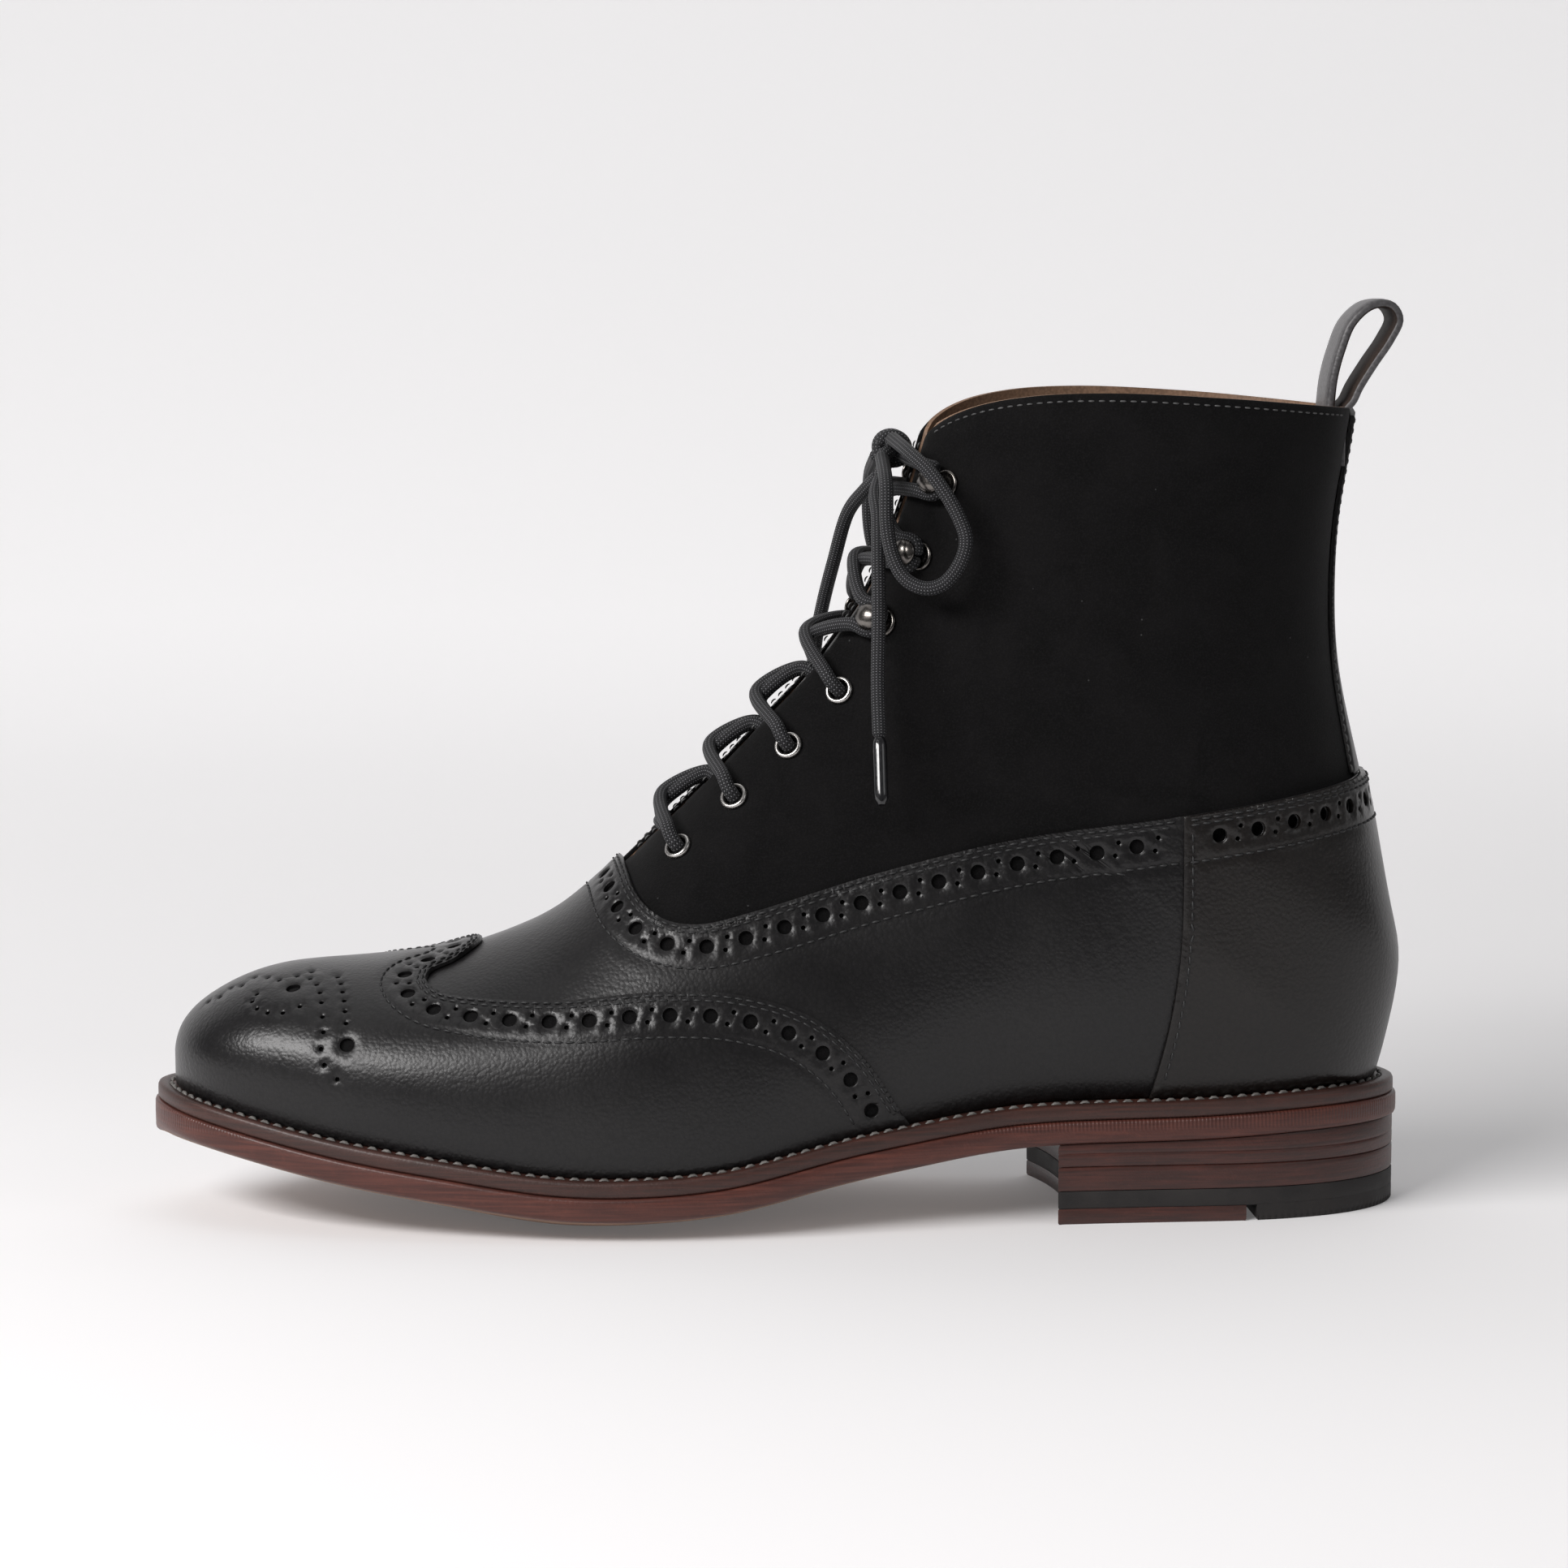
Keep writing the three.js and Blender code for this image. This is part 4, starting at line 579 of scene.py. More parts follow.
def sheet_mesh(outlines, holes, out, thick, spacing, grooves=(), lip=0.35):
    """A panel of leather cut on the last: its points, faces and how near an edge each point lies."""
    points, faces = [], []
    groove_line = np.vstack([spaced(g, 0.7, out) for g in grooves]) if len(grooves) else np.zeros((0, 2))
    for outline in outlines:
        flat = to_flat(outline)
        loops = [flat] + [to_flat(h) for h in holes]
        middle = np.array([loop.mean(0) for loop in loops[1:]]).reshape(-1, 2)
        mine = [flat]
        if len(middle):
            mine += [loops[1 + k] for k in np.nonzero(even_odd(middle, [flat]))[0]]
        edge_points = np.vstack(mine)
        extra = []
        tangent = np.roll(flat, -1, 0) - np.roll(flat, 1, 0)
        area = (flat[:, 0] * np.roll(flat[:, 1], -1) - np.roll(flat[:, 0], -1) * flat[:, 1]).sum()
        normal = np.stack([-tangent[:, 1], tangent[:, 0]], -1) * np.sign(area)
        normal /= np.linalg.norm(normal, axis=1, keepdims=True) + 1e-9
        extra.append((flat + 0.6 * normal)[~is_seam(outline)])
        for loop in mine[1:]:
            away = loop - loop.mean(0)
            extra.append(loop + 0.45 * away / np.linalg.norm(away, axis=1, keepdims=True))
        if len(groove_line):
            grooved = to_flat(groove_line)
            run = np.gradient(grooved, axis=0)
            run /= np.linalg.norm(run, axis=1, keepdims=True) + 1e-9
            across = np.stack([-run[:, 1], run[:, 0]], -1) * 0.75
            extra.append(np.vstack([grooved, grooved + across, grooved - across]))
        extra = np.vstack(extra)
        extra = extra[even_odd(extra, mine)]
        extra = extra[distances(lifted(edge_points), lifted(extra)) > 0.3]
        kept = np.vstack([edge_points, extra])
        low_u, high_u = flat[:, 0].min(), flat[:, 0].max()
        grid = []
        for k, u in enumerate(np.arange(low_u + spacing / 2, high_u, spacing * 0.87)):
            half = np.interp(np.interp(u, pattern_u, pattern_rows), pattern_rows, pattern_half)
            v = np.arange(-half + spacing * (0.3 + 0.5 * (k % 2)), half, spacing)
            grid.append(np.stack([0 * v + u, v], -1))
        grid = np.vstack(grid)
        grid = grid[even_odd(grid, mine)]
        grid = grid[distances(lifted(kept), lifted(grid)) > 0.62 * spacing]
        flat_points = np.vstack([edge_points, extra, grid])
        constraints, base = [], 0
        for loop in mine:
            n = len(loop)
            constraints += [(base + i, base + (i + 1) % n) for i in range(n)]
            base += n
        found = delaunay_2d_cdt([Vector(p) for p in flat_points], constraints, [], 0, 1e-4, False)
        places = np.array([(v.x, v.y) for v in found[0]])
        triangles = np.array([list(f) for f in found[2]])
        keep = even_odd(places[triangles].mean(1), mine)
        base = sum(len(p) for p in points)
        points.append(from_flat(places))
        faces.append(triangles[keep] + base)
    line, triangles = np.vstack(points), np.vstack(faces)
    top, normals = on_surface(line, out)
    joined = np.arange(len(line))
    closing = np.nonzero(is_seam(line))[0]
    if len(closing):
        tree = KDTree(len(closing))
        for k in closing:
            tree.insert(top[k], int(k))
        tree.balance()
        for k in closing:
            joined[k] = min(i for _, i, _ in tree.find_range(top[k], 0.03))
    triangles = joined[triangles]
    triangles = triangles[(triangles != np.roll(triangles, 1, 1)).all(1)]
    used, triangles = np.unique(triangles, return_inverse=True)
    triangles = triangles.reshape(-1, 3)
    top, normals, line = top[used], normals[used], line[used]
    sides = np.sort(np.vstack([triangles[:, [0, 1]], triangles[:, [1, 2]], triangles[:, [2, 0]]]), axis=1)
    pairs, counts = np.unique(sides, axis=0, return_counts=True)
    border = pairs[counts == 1]
    # the heel's curves meet in a line from the welt; it is smoothed away
    weight = np.exp(-((line[:, 0] - FOOT_END) / 0.9) ** 2) * ease((np.abs(line[:, 1]) - 0.5) / 0.3)
    weight[np.unique(border)] = 0
    for _ in range(16 if weight.max() > 0.1 else 0):
        both = np.concatenate([top, normals], 1)
        total, near = np.zeros_like(both), np.zeros(len(both))
        for a, b in ((0, 1), (1, 0)):
            np.add.at(total, pairs[:, a], both[pairs[:, b]])
            np.add.at(near, pairs[:, a], 1)
        both += 0.6 * weight[:, None] * (total / near[:, None] - both)
        top, normals = both[:, :3], both[:, 3:] / np.linalg.norm(both[:, 3:], axis=1, keepdims=True)
    rim_points = top[np.unique(border)]
    d = distances(rim_points, top, 30)
    low = lip * np.clip(1 - d / 0.6, 0, 1) ** 2
    if len(groove_line):
        g = distances(on_surface(groove_line, out)[0], top, 30)
        low = np.maximum(low, 0.22 * np.clip(1 - g / 0.75, 0, 1))
    bottom = top - normals * thick
    top = top - normals * low[:, None]
    n = len(top)
    walls = [(a, b, b + n, a + n) for a, b in border]
    verts = np.vstack([top, bottom])
    polygons = [*triangles.tolist(), *(triangles[:, ::-1] + n).tolist(), *walls]
    marks = np.concatenate([np.exp(-d / 1.6), np.exp(-d / 1.6)])
    return verts, polygons, marks


def panel(name, outlines, holes, out, thick, spacing, finish, nodes, grooves=(), lip=0.35):
    verts, polygons, marks = sheet_mesh(outlines, holes, out, thick, spacing, grooves, lip)
    return build(name, [(verts, polygons, None, 0)], [finish], nodes, 42, marks)


def tube(points, radius, sides=14, step=0.8):
    """A round strand along points, with rounded ends."""
    p = smooth_line(points, step)
    t = np.gradient(p, axis=0)
    t /= np.linalg.norm(t, axis=1, keepdims=True)
    a = np.cross(t[0], [0.31, 0.52, 0.8])
    frames = []
    for k in range(len(p)):
        a = a - t[k] * (a @ t[k])
        a = a / np.linalg.norm(a)
        frames.append(np.stack([a, np.cross(t[k], a)]))
    frames = np.array(frames)
    swell = np.ones(len(p))
    swell[[0, -1]] = 0.55
    if len(p) > 5:
        swell[[1, -2]] = 0.92
    angle = np.linspace(0, 2 * math.pi, sides, endpoint=False)
    ring = np.cos(angle)[None, :, None] * frames[:, None, 0]
    ring = ring + np.sin(angle)[None, :, None] * frames[:, None, 1]
    verts = (p[:, None] + radius * swell[:, None, None] * ring).reshape(-1, 3)
    length = lengths_along(p)
    faces, uvs = [], []
    for i in range(len(p) - 1):
        for j in range(sides):
            m = (j + 1) % sides
            faces.append((i * sides + j, i * sides + m, (i + 1) * sides + m, (i + 1) * sides + j))
            v0, v1 = j / sides, (j + 1) / sides
            uvs.append([(length[i], v0), (length[i], v1), (length[i + 1], v1), (length[i + 1], v0)])
    for ends in (range(sides), range((len(p) - 1) * sides, len(p) * sides)):
        faces.append(tuple(ends))
        uvs.append([(0.0, 0.0)] * sides)
    return verts, faces, uvs, 0


def revolve(profile, station, sides=28, shape=None):
    """A form turned about a hardware station's normal, from radii and heights. shape bends it."""
    angle = np.linspace(0, 2 * math.pi, sides, endpoint=False)
    rings = []
    for r, h in profile:
        local = np.stack([r * np.cos(angle), r * np.sin(angle), 0 * angle + h], -1)
        rings.append(shape(local) if shape else local)
    local = np.vstack(rings)
    axes = np.stack([station["throat"], station["upward"], station["normal"]])
    verts = station["point"] + local @ axes
    faces = []
    for i in range(len(profile) - 1):
        for j in range(sides):
            m = (j + 1) % sides
            faces.append((i * sides + j, i * sides + m, (i + 1) * sides + m, (i + 1) * sides + j))
    if profile[0] != profile[-1]:
        faces += [tuple(range(sides)), tuple(range((len(profile) - 1) * sides, len(profile) * sides))]
    else:
        faces = [tuple(i % ((len(profile) - 1) * sides) for i in face) for face in faces]
        verts = verts[:(len(profile) - 1) * sides]
    return verts, faces, None, 0


stitch_rings = [(-1.0, 0.0, -0.35), (-0.82, 0.75, -0.12), (-0.35, 1.0, 0.28), (0.35, 1.0, 0.28),
                (0.82, 0.75, -0.12), (1.0, 0.0, -0.35)]


def stitches(places, tangents, normals, length, thick):
    """Short rounded stitches, one at each place."""
    across = np.cross(normals, tangents)
    local, faces = [], []
    for t, r, h in stitch_rings:
        count = 1 if r == 0 else 6
        for j in range(count):
            angle = 2 * math.pi * j / 6
            wide, high = r * thick / 2 * math.cos(angle), r * thick / 2 * math.sin(angle)
            local.append((t * length / 2, wide, h * thick + high))
    for k in range(6):
        faces.append((0, 1 + k, 1 + (k + 1) % 6))
        for ring in range(3):
            a, b = 1 + ring * 6, 7 + ring * 6
            faces.append((a + k, b + k, b + (k + 1) % 6, a + (k + 1) % 6))
        faces.append((25, 19 + (k + 1) % 6, 19 + k))
    local = np.array(local)
    verts = (places[:, None] + local[None, :, :1] * tangents[:, None] + local[None, :, 1:2] * across[:, None]
             + local[None, :, 2:] * normals[:, None]).reshape(-1, 3)
    all_faces = [tuple(i + 26 * s for i in face) for s in range(len(places)) for face in faces]
    return verts, all_faces, None, 0


def sewn(line, out, pitch=2.7, length=2.3, thick=0.55, sink=0.12):
    """Stitches along a line on the surface."""
    where = spaced(line, pitch, out)
    ahead = spaced(line, pitch, out, 0.62)[:len(where)]
    where = where[:len(ahead)]
    p, n = on_surface(where, out)
    t = on_surface(ahead, out)[0] - p
    t /= np.linalg.norm(t, axis=1, keepdims=True) + 1e-9
    return stitches(p - sink * n, t, n, length, thick)


# Finishes
def nodes_of(tree):
    def put(kind, inputs=None, **props):
        made = tree.nodes.new(kind)
        for key, value in props.items():
            setattr(made, key, value)
        for key, value in (inputs or {}).items():
            if hasattr(value, "is_output"):
                tree.links.new(value, made.inputs[key])
            else:
                made.inputs[key].default_value = value
        return made
    return put


def effect(name, inputs, outputs):
    """An empty shader node group with its sockets, its node maker, entry and exit."""
    tree = bpy.data.node_groups.new(name, "ShaderNodeTree")
    for socket, value in inputs:
        made = tree.interface.new_socket(name=socket, in_out="INPUT", socket_type="NodeSocketFloat")
        made.default_value = value
    for socket in outputs:
        tree.interface.new_socket(name=socket, in_out="OUTPUT", socket_type="NodeSocketFloat")
    put = nodes_of(tree)
    return tree, put, put("NodeGroupInput"), put("NodeGroupOutput")


def sized(put, entry):
    """Object coordinates in units of the group's Size, which is in millimetres."""
    place = put("ShaderNodeTexCoord").outputs["Object"]
    scale = put("ShaderNodeMath", {0: 1000.0, 1: entry.outputs["Size"]}, operation="DIVIDE").outputs[0]
    return put("ShaderNodeVectorMath", {0: place, "Scale": scale}, operation="SCALE").outputs["Vector"]


grain, put, entry, leave = effect("pebble_grain", [("Size", 1.0)], ["Height", "Pits"])
place = sized(put, entry)
swirl = put("ShaderNodeTexNoise", {"Vector": place, "Scale": 0.55, "Detail": 2.0})
bent = put("ShaderNodeVectorMath", {0: swirl.outputs["Color"], "Scale": 0.9}, operation="SCALE")
moved = put("ShaderNodeVectorMath", {0: place, 1: bent.outputs["Vector"]}, operation="ADD").outputs["Vector"]
cells = put("ShaderNodeTexVoronoi", {"Vector": moved, "Scale": 1.0, "Smoothness": 0.35}, feature="SMOOTH_F1")
fine = put("ShaderNodeTexNoise", {"Vector": place, "Scale": 3.2, "Detail": 3.0})
dome = put("ShaderNodeMath", {0: 1.0, 1: cells.outputs["Distance"]}, operation="SUBTRACT").outputs[0]
mixed = put("ShaderNodeMath", {0: fine.outputs["Fac"], 1: 0.25, 2: dome}, operation="MULTIPLY_ADD").outputs[0]
pits = put("ShaderNodeMapRange", {"Value": cells.outputs["Distance"], "From Min": 0.35, "From Max": 0.75})
grain.links.new(mixed, leave.inputs["Height"])
grain.links.new(pits.outputs["Result"], leave.inputs["Pits"])

mottle, put, entry, leave = effect("slow_mottle", [("Size", 30.0)], ["Shade", "Scuff"])
place = sized(put, entry)
wide = put("ShaderNodeTexNoise", {"Vector": place, "Scale": 1.0, "Detail": 3.0, "Roughness": 0.55})
scuffs = put("ShaderNodeTexNoise", {"Vector": place, "Scale": 6.0, "Detail": 5.0, "Roughness": 0.7})
shade = put("ShaderNodeMapRange", {"Value": wide.outputs["Fac"], "From Min": 0.32, "From Max": 0.68})
scuff = put("ShaderNodeMapRange", {"Value": scuffs.outputs["Fac"], "From Min": 0.55, "From Max": 0.8})
mottle.links.new(shade.outputs["Result"], leave.inputs["Shade"])
mottle.links.new(scuff.outputs["Result"], leave.inputs["Scuff"])

nap, put, entry, leave = effect("suede_nap", [("Size", 0.5)], ["Height", "Brush", "Lint"])
place = sized(put, entry)
hair = put("ShaderNodeTexNoise", {"Vector": place, "Scale": 1.0, "Detail": 4.0, "Roughness": 0.65})
brush = put("ShaderNodeTexNoise", {"Vector": place, "Scale": 0.035, "Detail": 3.0, "Distortion": 0.6})
specks = put("ShaderNodeTexVoronoi", {"Vector": place, "Scale": 0.06, "Randomness": 1.0})
lint = put("ShaderNodeMapRange", {"Value": specks.outputs["Distance"], "From Min": 0.035, "From Max": 0.015})
nap.links.new(hair.outputs["Fac"], leave.inputs["Height"])
nap.links.new(brush.outputs["Fac"], leave.inputs["Brush"])
nap.links.new(lint.outputs["Result"], leave.inputs["Lint"])

layers, put, entry, leave = effect("edge_streaks", [("Size", 1.0)], ["Streak", "Pores"])
place = sized(put, entry)
drawn_out = put("ShaderNodeVectorMath", {0: place, 1: (0.06, 0.06, 1.6)}, operation="MULTIPLY")
flat_place = drawn_out.outputs["Vector"]
streak = put("ShaderNodeTexNoise", {"Vector": flat_place, "Scale": 1.0, "Detail": 5.0, "Roughness": 0.6})
pores = put("ShaderNodeTexNoise", {"Vector": place, "Scale": 1.6, "Detail": 4.0})
layers.links.new(streak.outputs["Fac"], leave.inputs["Streak"])
layers.links.new(pores.outputs["Fac"], leave.inputs["Pores"])

braid, put, entry, leave = effect("braid", [("Pitch", 1.5)], ["Height", "Fleck"])
place = put("ShaderNodeSeparateXYZ", {0: put("ShaderNodeUVMap", uv_map="UVMap").outputs["UV"]})
run = put("ShaderNodeMath", {0: place.outputs["X"], 1: entry.outputs["Pitch"]}, operation="DIVIDE").outputs[0]
waves = []
for sign in (1.0, -1.0):
    turn = put("ShaderNodeMath", {0: place.outputs["Y"], 1: 6.0 * sign, 2: run}, operation="MULTIPLY_ADD")
    angle = put("ShaderNodeMath", {0: turn.outputs[0], 1: 2 * math.pi}, operation="MULTIPLY").outputs[0]
    waves.append(put("ShaderNodeMath", {0: angle}, operation="SINE").outputs[0])
product = put("ShaderNodeMath", {0: waves[0], 1: waves[1]}, operation="MULTIPLY").outputs[0]
height = put("ShaderNodeMath", {0: product}, operation="ABSOLUTE").outputs[0]
fleck = put("ShaderNodeMapRange", {"Value": product, "From Min": 0.62, "From Max": 0.82}).outputs["Result"]
braid.links.new(height, leave.inputs["Height"])
braid.links.new(fleck, leave.inputs["Fleck"])


def finish(name, rough, **sockets):
    """A material with its shader, its node maker and its uniform settings."""
    made = bpy.data.materials.new(name)
    made.use_nodes = True
    tree = made.node_tree
    tree.nodes.clear()
    put = nodes_of(tree)
    shader = put("ShaderNodeBsdfPrincipled", {"Roughness": rough, **sockets})
    end = put("ShaderNodeOutputMaterial")
    tree.links.new(shader.outputs["BSDF"], end.inputs["Surface"])
    return made, put, shader, tree.links.new


def grouped(put, group, **values):
    made = put("ShaderNodeGroup")
    made.node_tree = group
    for key, value in values.items():
        made.inputs[key].default_value = value
    return made


def blend(put, share, a, b):
    made = put("ShaderNodeMix", data_type="RGBA")
    tree = made.id_data
    for k, value in ((0, share), (6, a), (7, b)):
        if hasattr(value, "is_output"):
            tree.links.new(value, made.inputs[k])
        else:
            made.inputs[k].default_value = (*value, 1.0) if isinstance(value, tuple) else value
    return made.outputs[2]


def ranged(put, value, low, high, start=0.0, end=1.0):
    return put("ShaderNodeMapRange", {"Value": value, "From Min": start, "From Max": end,
                                      "To Min": low, "To Max": high}).outputs["Result"]


def leather(name, dark, light, rough, size=0.95, depth=0.00012, strength=0.5):
    made, put, shader, link = finish(name, rough, **{"Specular IOR Level": 0.38, "Coat Roughness": 0.3})
    shader.inputs["Coat Weight"].default_value = 0.08
    g, m = grouped(put, grain, Size=size), grouped(put, mottle, Size=34.0)
    near_edge = put("ShaderNodeAttribute", attribute_name="edge").outputs["Fac"]
    worn = put("ShaderNodeMath", {0: near_edge, 1: m.outputs["Scuff"]}, operation="MULTIPLY").outputs[0]
    tone = blend(put, m.outputs["Shade"], dark, light)
    tone = blend(put, ranged(put, g.outputs["Pits"], 0.0, 0.5), tone, tuple(0.45 * c for c in dark))
    link(blend(put, ranged(put, worn, 0, 0.25), tone, (0.09, 0.085, 0.085)), shader.inputs["Base Color"])
    link(ranged(put, m.outputs["Shade"], rough - 0.04, rough + 0.07), shader.inputs["Roughness"])
    bump = put("ShaderNodeBump", {"Strength": strength, "Distance": depth, "Height": g.outputs["Height"]})
    link(bump.outputs["Normal"], shader.inputs["Normal"])
    return made


black_leather = leather("black_calf", (0.0055, 0.005, 0.0055), (0.009, 0.0082, 0.0085), 0.34)
counter_leather = leather("brown_black_calf", (0.0065, 0.005, 0.0046), (0.0105, 0.0085, 0.0075), 0.33)
strip_leather = leather("strip_calf", (0.008, 0.0075, 0.0075), (0.013, 0.012, 0.012), 0.4)
# The pull loop's grain side is painted light grey: a painted highlight for the sheen on its front face.
loop_leather_painted_highlight = leather("loop_calf_painted_highlight", (0.075, 0.072, 0.075), (0.115, 0.11, 0.114), 0.42, 0.8)
flesh_side = leather("loop_flesh_side", (0.02, 0.012, 0.01), (0.04, 0.025, 0.018), 0.85, 0.4)
lining_leather = leather("tan_lining", (0.2, 0.115, 0.07), (0.27, 0.165, 0.105), 0.65, 0.7, 0.00005)
insole_leather = leather("tan_insole", (0.24, 0.15, 0.09), (0.3, 0.19, 0.12), 0.6, 0.7, 0.00005)

suede, put, shader, link = finish("black_suede", 0.95, **{"Specular IOR Level": 0.12, "Sheen Weight": 0.06,
                                                          "Sheen Roughness": 0.5})
n = grouped(put, nap, Size=0.45)
brushed = ranged(put, n.outputs["Brush"], 0, 1, 0.35, 0.65)
tone = blend(put, brushed, (0.0017, 0.0016, 0.0017), (0.0038, 0.0035, 0.0037))
tone = blend(put, ranged(put, n.outputs["Height"], 0, 0.6, 0.45, 0.7), tone, (0.0095, 0.009, 0.0095))
tone = blend(put, ranged(put, n.outputs["Lint"], 0, 0.7), tone, (0.07, 0.07, 0.072))
link(tone, shader.inputs["Base Color"])
bump = put("ShaderNodeBump", {"Strength": 0.5, "Distance": 0.0002, "Height": n.outputs["Height"]})
link(bump.outputs["Normal"], shader.inputs["Normal"])


def sole_leather(name, dark, light, rough, marks=False):
    made, put, shader, link = finish(name, rough, **{"Specular IOR Level": 0.45, "Coat Roughness": 0.35})
    shader.inputs["Coat Weight"].default_value = 0.1
    s, m = grouped(put, layers, Size=1.0), grouped(put, mottle, Size=14.0)
    tone = blend(put, ranged(put, s.outputs["Streak"], 0, 1, 0.38, 0.62), dark, light)
    tone = blend(put, ranged(put, m.outputs["Shade"], 0, 0.55), tone, dark)
    link(blend(put, ranged(put, m.outputs["Scuff"], 0, 0.25), tone, tuple(1.7 * c for c in light)),
         shader.inputs["Base Color"])
    link(ranged(put, s.outputs["Pores"], rough - 0.08, rough + 0.1), shader.inputs["Roughness"])
    height = s.outputs["Pores"]
    if marks:
        uv = put("ShaderNodeSeparateXYZ", {0: put("ShaderNodeUVMap", uv_map="UVMap").outputs["UV"]})
        turn = put("ShaderNodeMath", {0: uv.outputs["X"], 1: 2 * math.pi / 0.95}, operation="MULTIPLY")
        wave = put("ShaderNodeMath", {0: turn.outputs[0]}, operation="SINE").outputs[0]
        above = ranged(put, uv.outputs["Y"], 0, 1, 22.6, 23.4)
        below = ranged(put, uv.outputs["Y"], 1, 0, 26.2, 27.0)
        zone = put("ShaderNodeMath", {0: above, 1: below}, operation="MULTIPLY").outputs[0]
        cut = put("ShaderNodeMath", {0: wave, 1: zone}, operation="MULTIPLY").outputs[0]
        height = put("ShaderNodeMath", {0: cut, 1: 0.8, 2: height}, operation="MULTIPLY_ADD").outputs[0]
    bump = put("ShaderNodeBump", {"Strength": 0.4, "Distance": 0.00018, "Height": height})
    link(bump.outputs["Normal"], shader.inputs["Normal"])
    return made


edge_brown = sole_leather("mahogany_edge", (0.05, 0.014, 0.010), (0.105, 0.029, 0.019), 0.42, marks=True)
welt_brown = sole_leather("dark_welt", (0.028, 0.012, 0.009), (0.062, 0.021, 0.015), 0.45)
stack_brown = sole_leather("stacked_lifts", (0.032, 0.012, 0.0095), (0.075, 0.022, 0.016), 0.42)
tread_brown = sole_leather("sole_face", (0.16, 0.085, 0.05), (0.24, 0.14, 0.09), 0.6)

rubber, put, shader, link = finish("dark_rubber", 0.62, **{"Specular IOR Level": 0.35})
m, r = grouped(put, mottle, Size=9.0), grouped(put, grain, Size=0.35)
tone = blend(put, m.outputs["Shade"], (0.014, 0.0125, 0.0125), (0.024, 0.021, 0.02))
link(tone, shader.inputs["Base Color"])
link(ranged(put, m.outputs["Shade"], 0.55, 0.72), shader.inputs["Roughness"])
bump = put("ShaderNodeBump", {"Strength": 0.25, "Distance": 0.0001, "Height": r.outputs["Height"]})
link(bump.outputs["Normal"], shader.inputs["Normal"])


def metal(name, dark, light, rough):
    made, put, shader, link = finish(name, rough, Metallic=1.0)
    m = grouped(put, mottle, Size=2.2)
    link(blend(put, m.outputs["Shade"], dark, light), shader.inputs["Base Color"])
    link(ranged(put, m.outputs["Scuff"], rough, rough + 0.16), shader.inputs["Roughness"])
    bump = put("ShaderNodeBump", {"Strength": 0.15, "Distance": 0.00005, "Height": m.outputs["Shade"]})
    link(bump.outputs["Normal"], shader.inputs["Normal"])
    return made


silver = metal("silver_eyelet", (0.4, 0.385, 0.37), (0.6, 0.58, 0.56), 0.26)
gunmetal = metal("gunmetal_hook", (0.12, 0.11, 0.105), (0.21, 0.195, 0.18), 0.24)

lace_cloth, put, shader, link = finish("charcoal_braid", 0.55,
                                       **{"Specular IOR Level": 0.3, "Sheen Weight": 0.03})
b, m = grouped(put, braid, Pitch=1.35), grouped(put, mottle, Size=6.0)
tone = blend(put, b.outputs["Height"], (0.003, 0.003, 0.0038), (0.0125, 0.013, 0.0148))
tone = blend(put, ranged(put, m.outputs["Shade"], 0, 0.4), tone, (0.013, 0.013, 0.015))
tone = blend(put, ranged(put, b.outputs["Fleck"], 0, 0.85), tone, (0.19, 0.19, 0.2))
link(tone, shader.inputs["Base Color"])
bump = put("ShaderNodeBump", {"Strength": 0.7, "Distance": 0.0002, "Height": b.outputs["Height"]})
link(bump.outputs["Normal"], shader.inputs["Normal"])


def thread(name, dark, light, rough=0.55):
    made, put, shader, link = finish(name, rough)
    m = grouped(put, mottle, Size=1.1)
    link(blend(put, m.outputs["Shade"], dark, light), shader.inputs["Base Color"])
    bump = put("ShaderNodeBump", {"Strength": 0.3, "Distance": 0.0001, "Height": m.outputs["Scuff"]})
    link(bump.outputs["Normal"], shader.inputs["Normal"])
    return made


black_thread = thread("black_thread", (0.007, 0.007, 0.0075), (0.018, 0.018, 0.019))
grey_thread = thread("grey_thread", (0.045, 0.045, 0.045), (0.085, 0.085, 0.085))
pale_thread = thread("pale_welt_thread", (0.08, 0.075, 0.07), (0.17, 0.16, 0.15))
tip_black = thread("lace_tip_black", (0.004, 0.004, 0.005), (0.009, 0.009, 0.01), 0.14)
tip_black.node_tree.nodes["Principled BSDF"].inputs["Coat Weight"].default_value = 0.6

# Seams on the last
band = seam(BAND, over_welt)
wing = seam(WING, over_welt)
collar = seam(COLLAR, over_seat)
heel_seam = seam(COUNTER, over_welt)
heel_seam = heel_seam[heel_seam[:, 1] < np.interp(heel_seam[:, 0], band[:, 0], band[:, 1]) - 0.05]
meet = np.array([heel_seam[0, 0], np.interp(heel_seam[0, 0], band[:, 0], band[:, 1])])
heel_seam = np.vstack([meet, heel_seam])
rear_band = np.vstack([meet, band[band[:, 0] > meet[0] + 0.3]])
low_band = band - [0, 24]


def run_rows(first, end, girth, step=0.12):
    rows = np.linspace(first, end, max(2, int(abs(end - first) / step) + 1))
    return np.stack([rows, 0 * rows + girth], -1)


def toe_front(girths):
    return np.stack([0 * girths, girths], -1)


def closed(*parts):
    """One outline from parts end to end, without its doubled corners."""
    line = np.vstack(parts)
    gap = np.linalg.norm(to_flat(line) - np.roll(to_flat(line), 1, 0), axis=1)
    return line[gap > 0.02]


def down(line):
    return line[::-1]


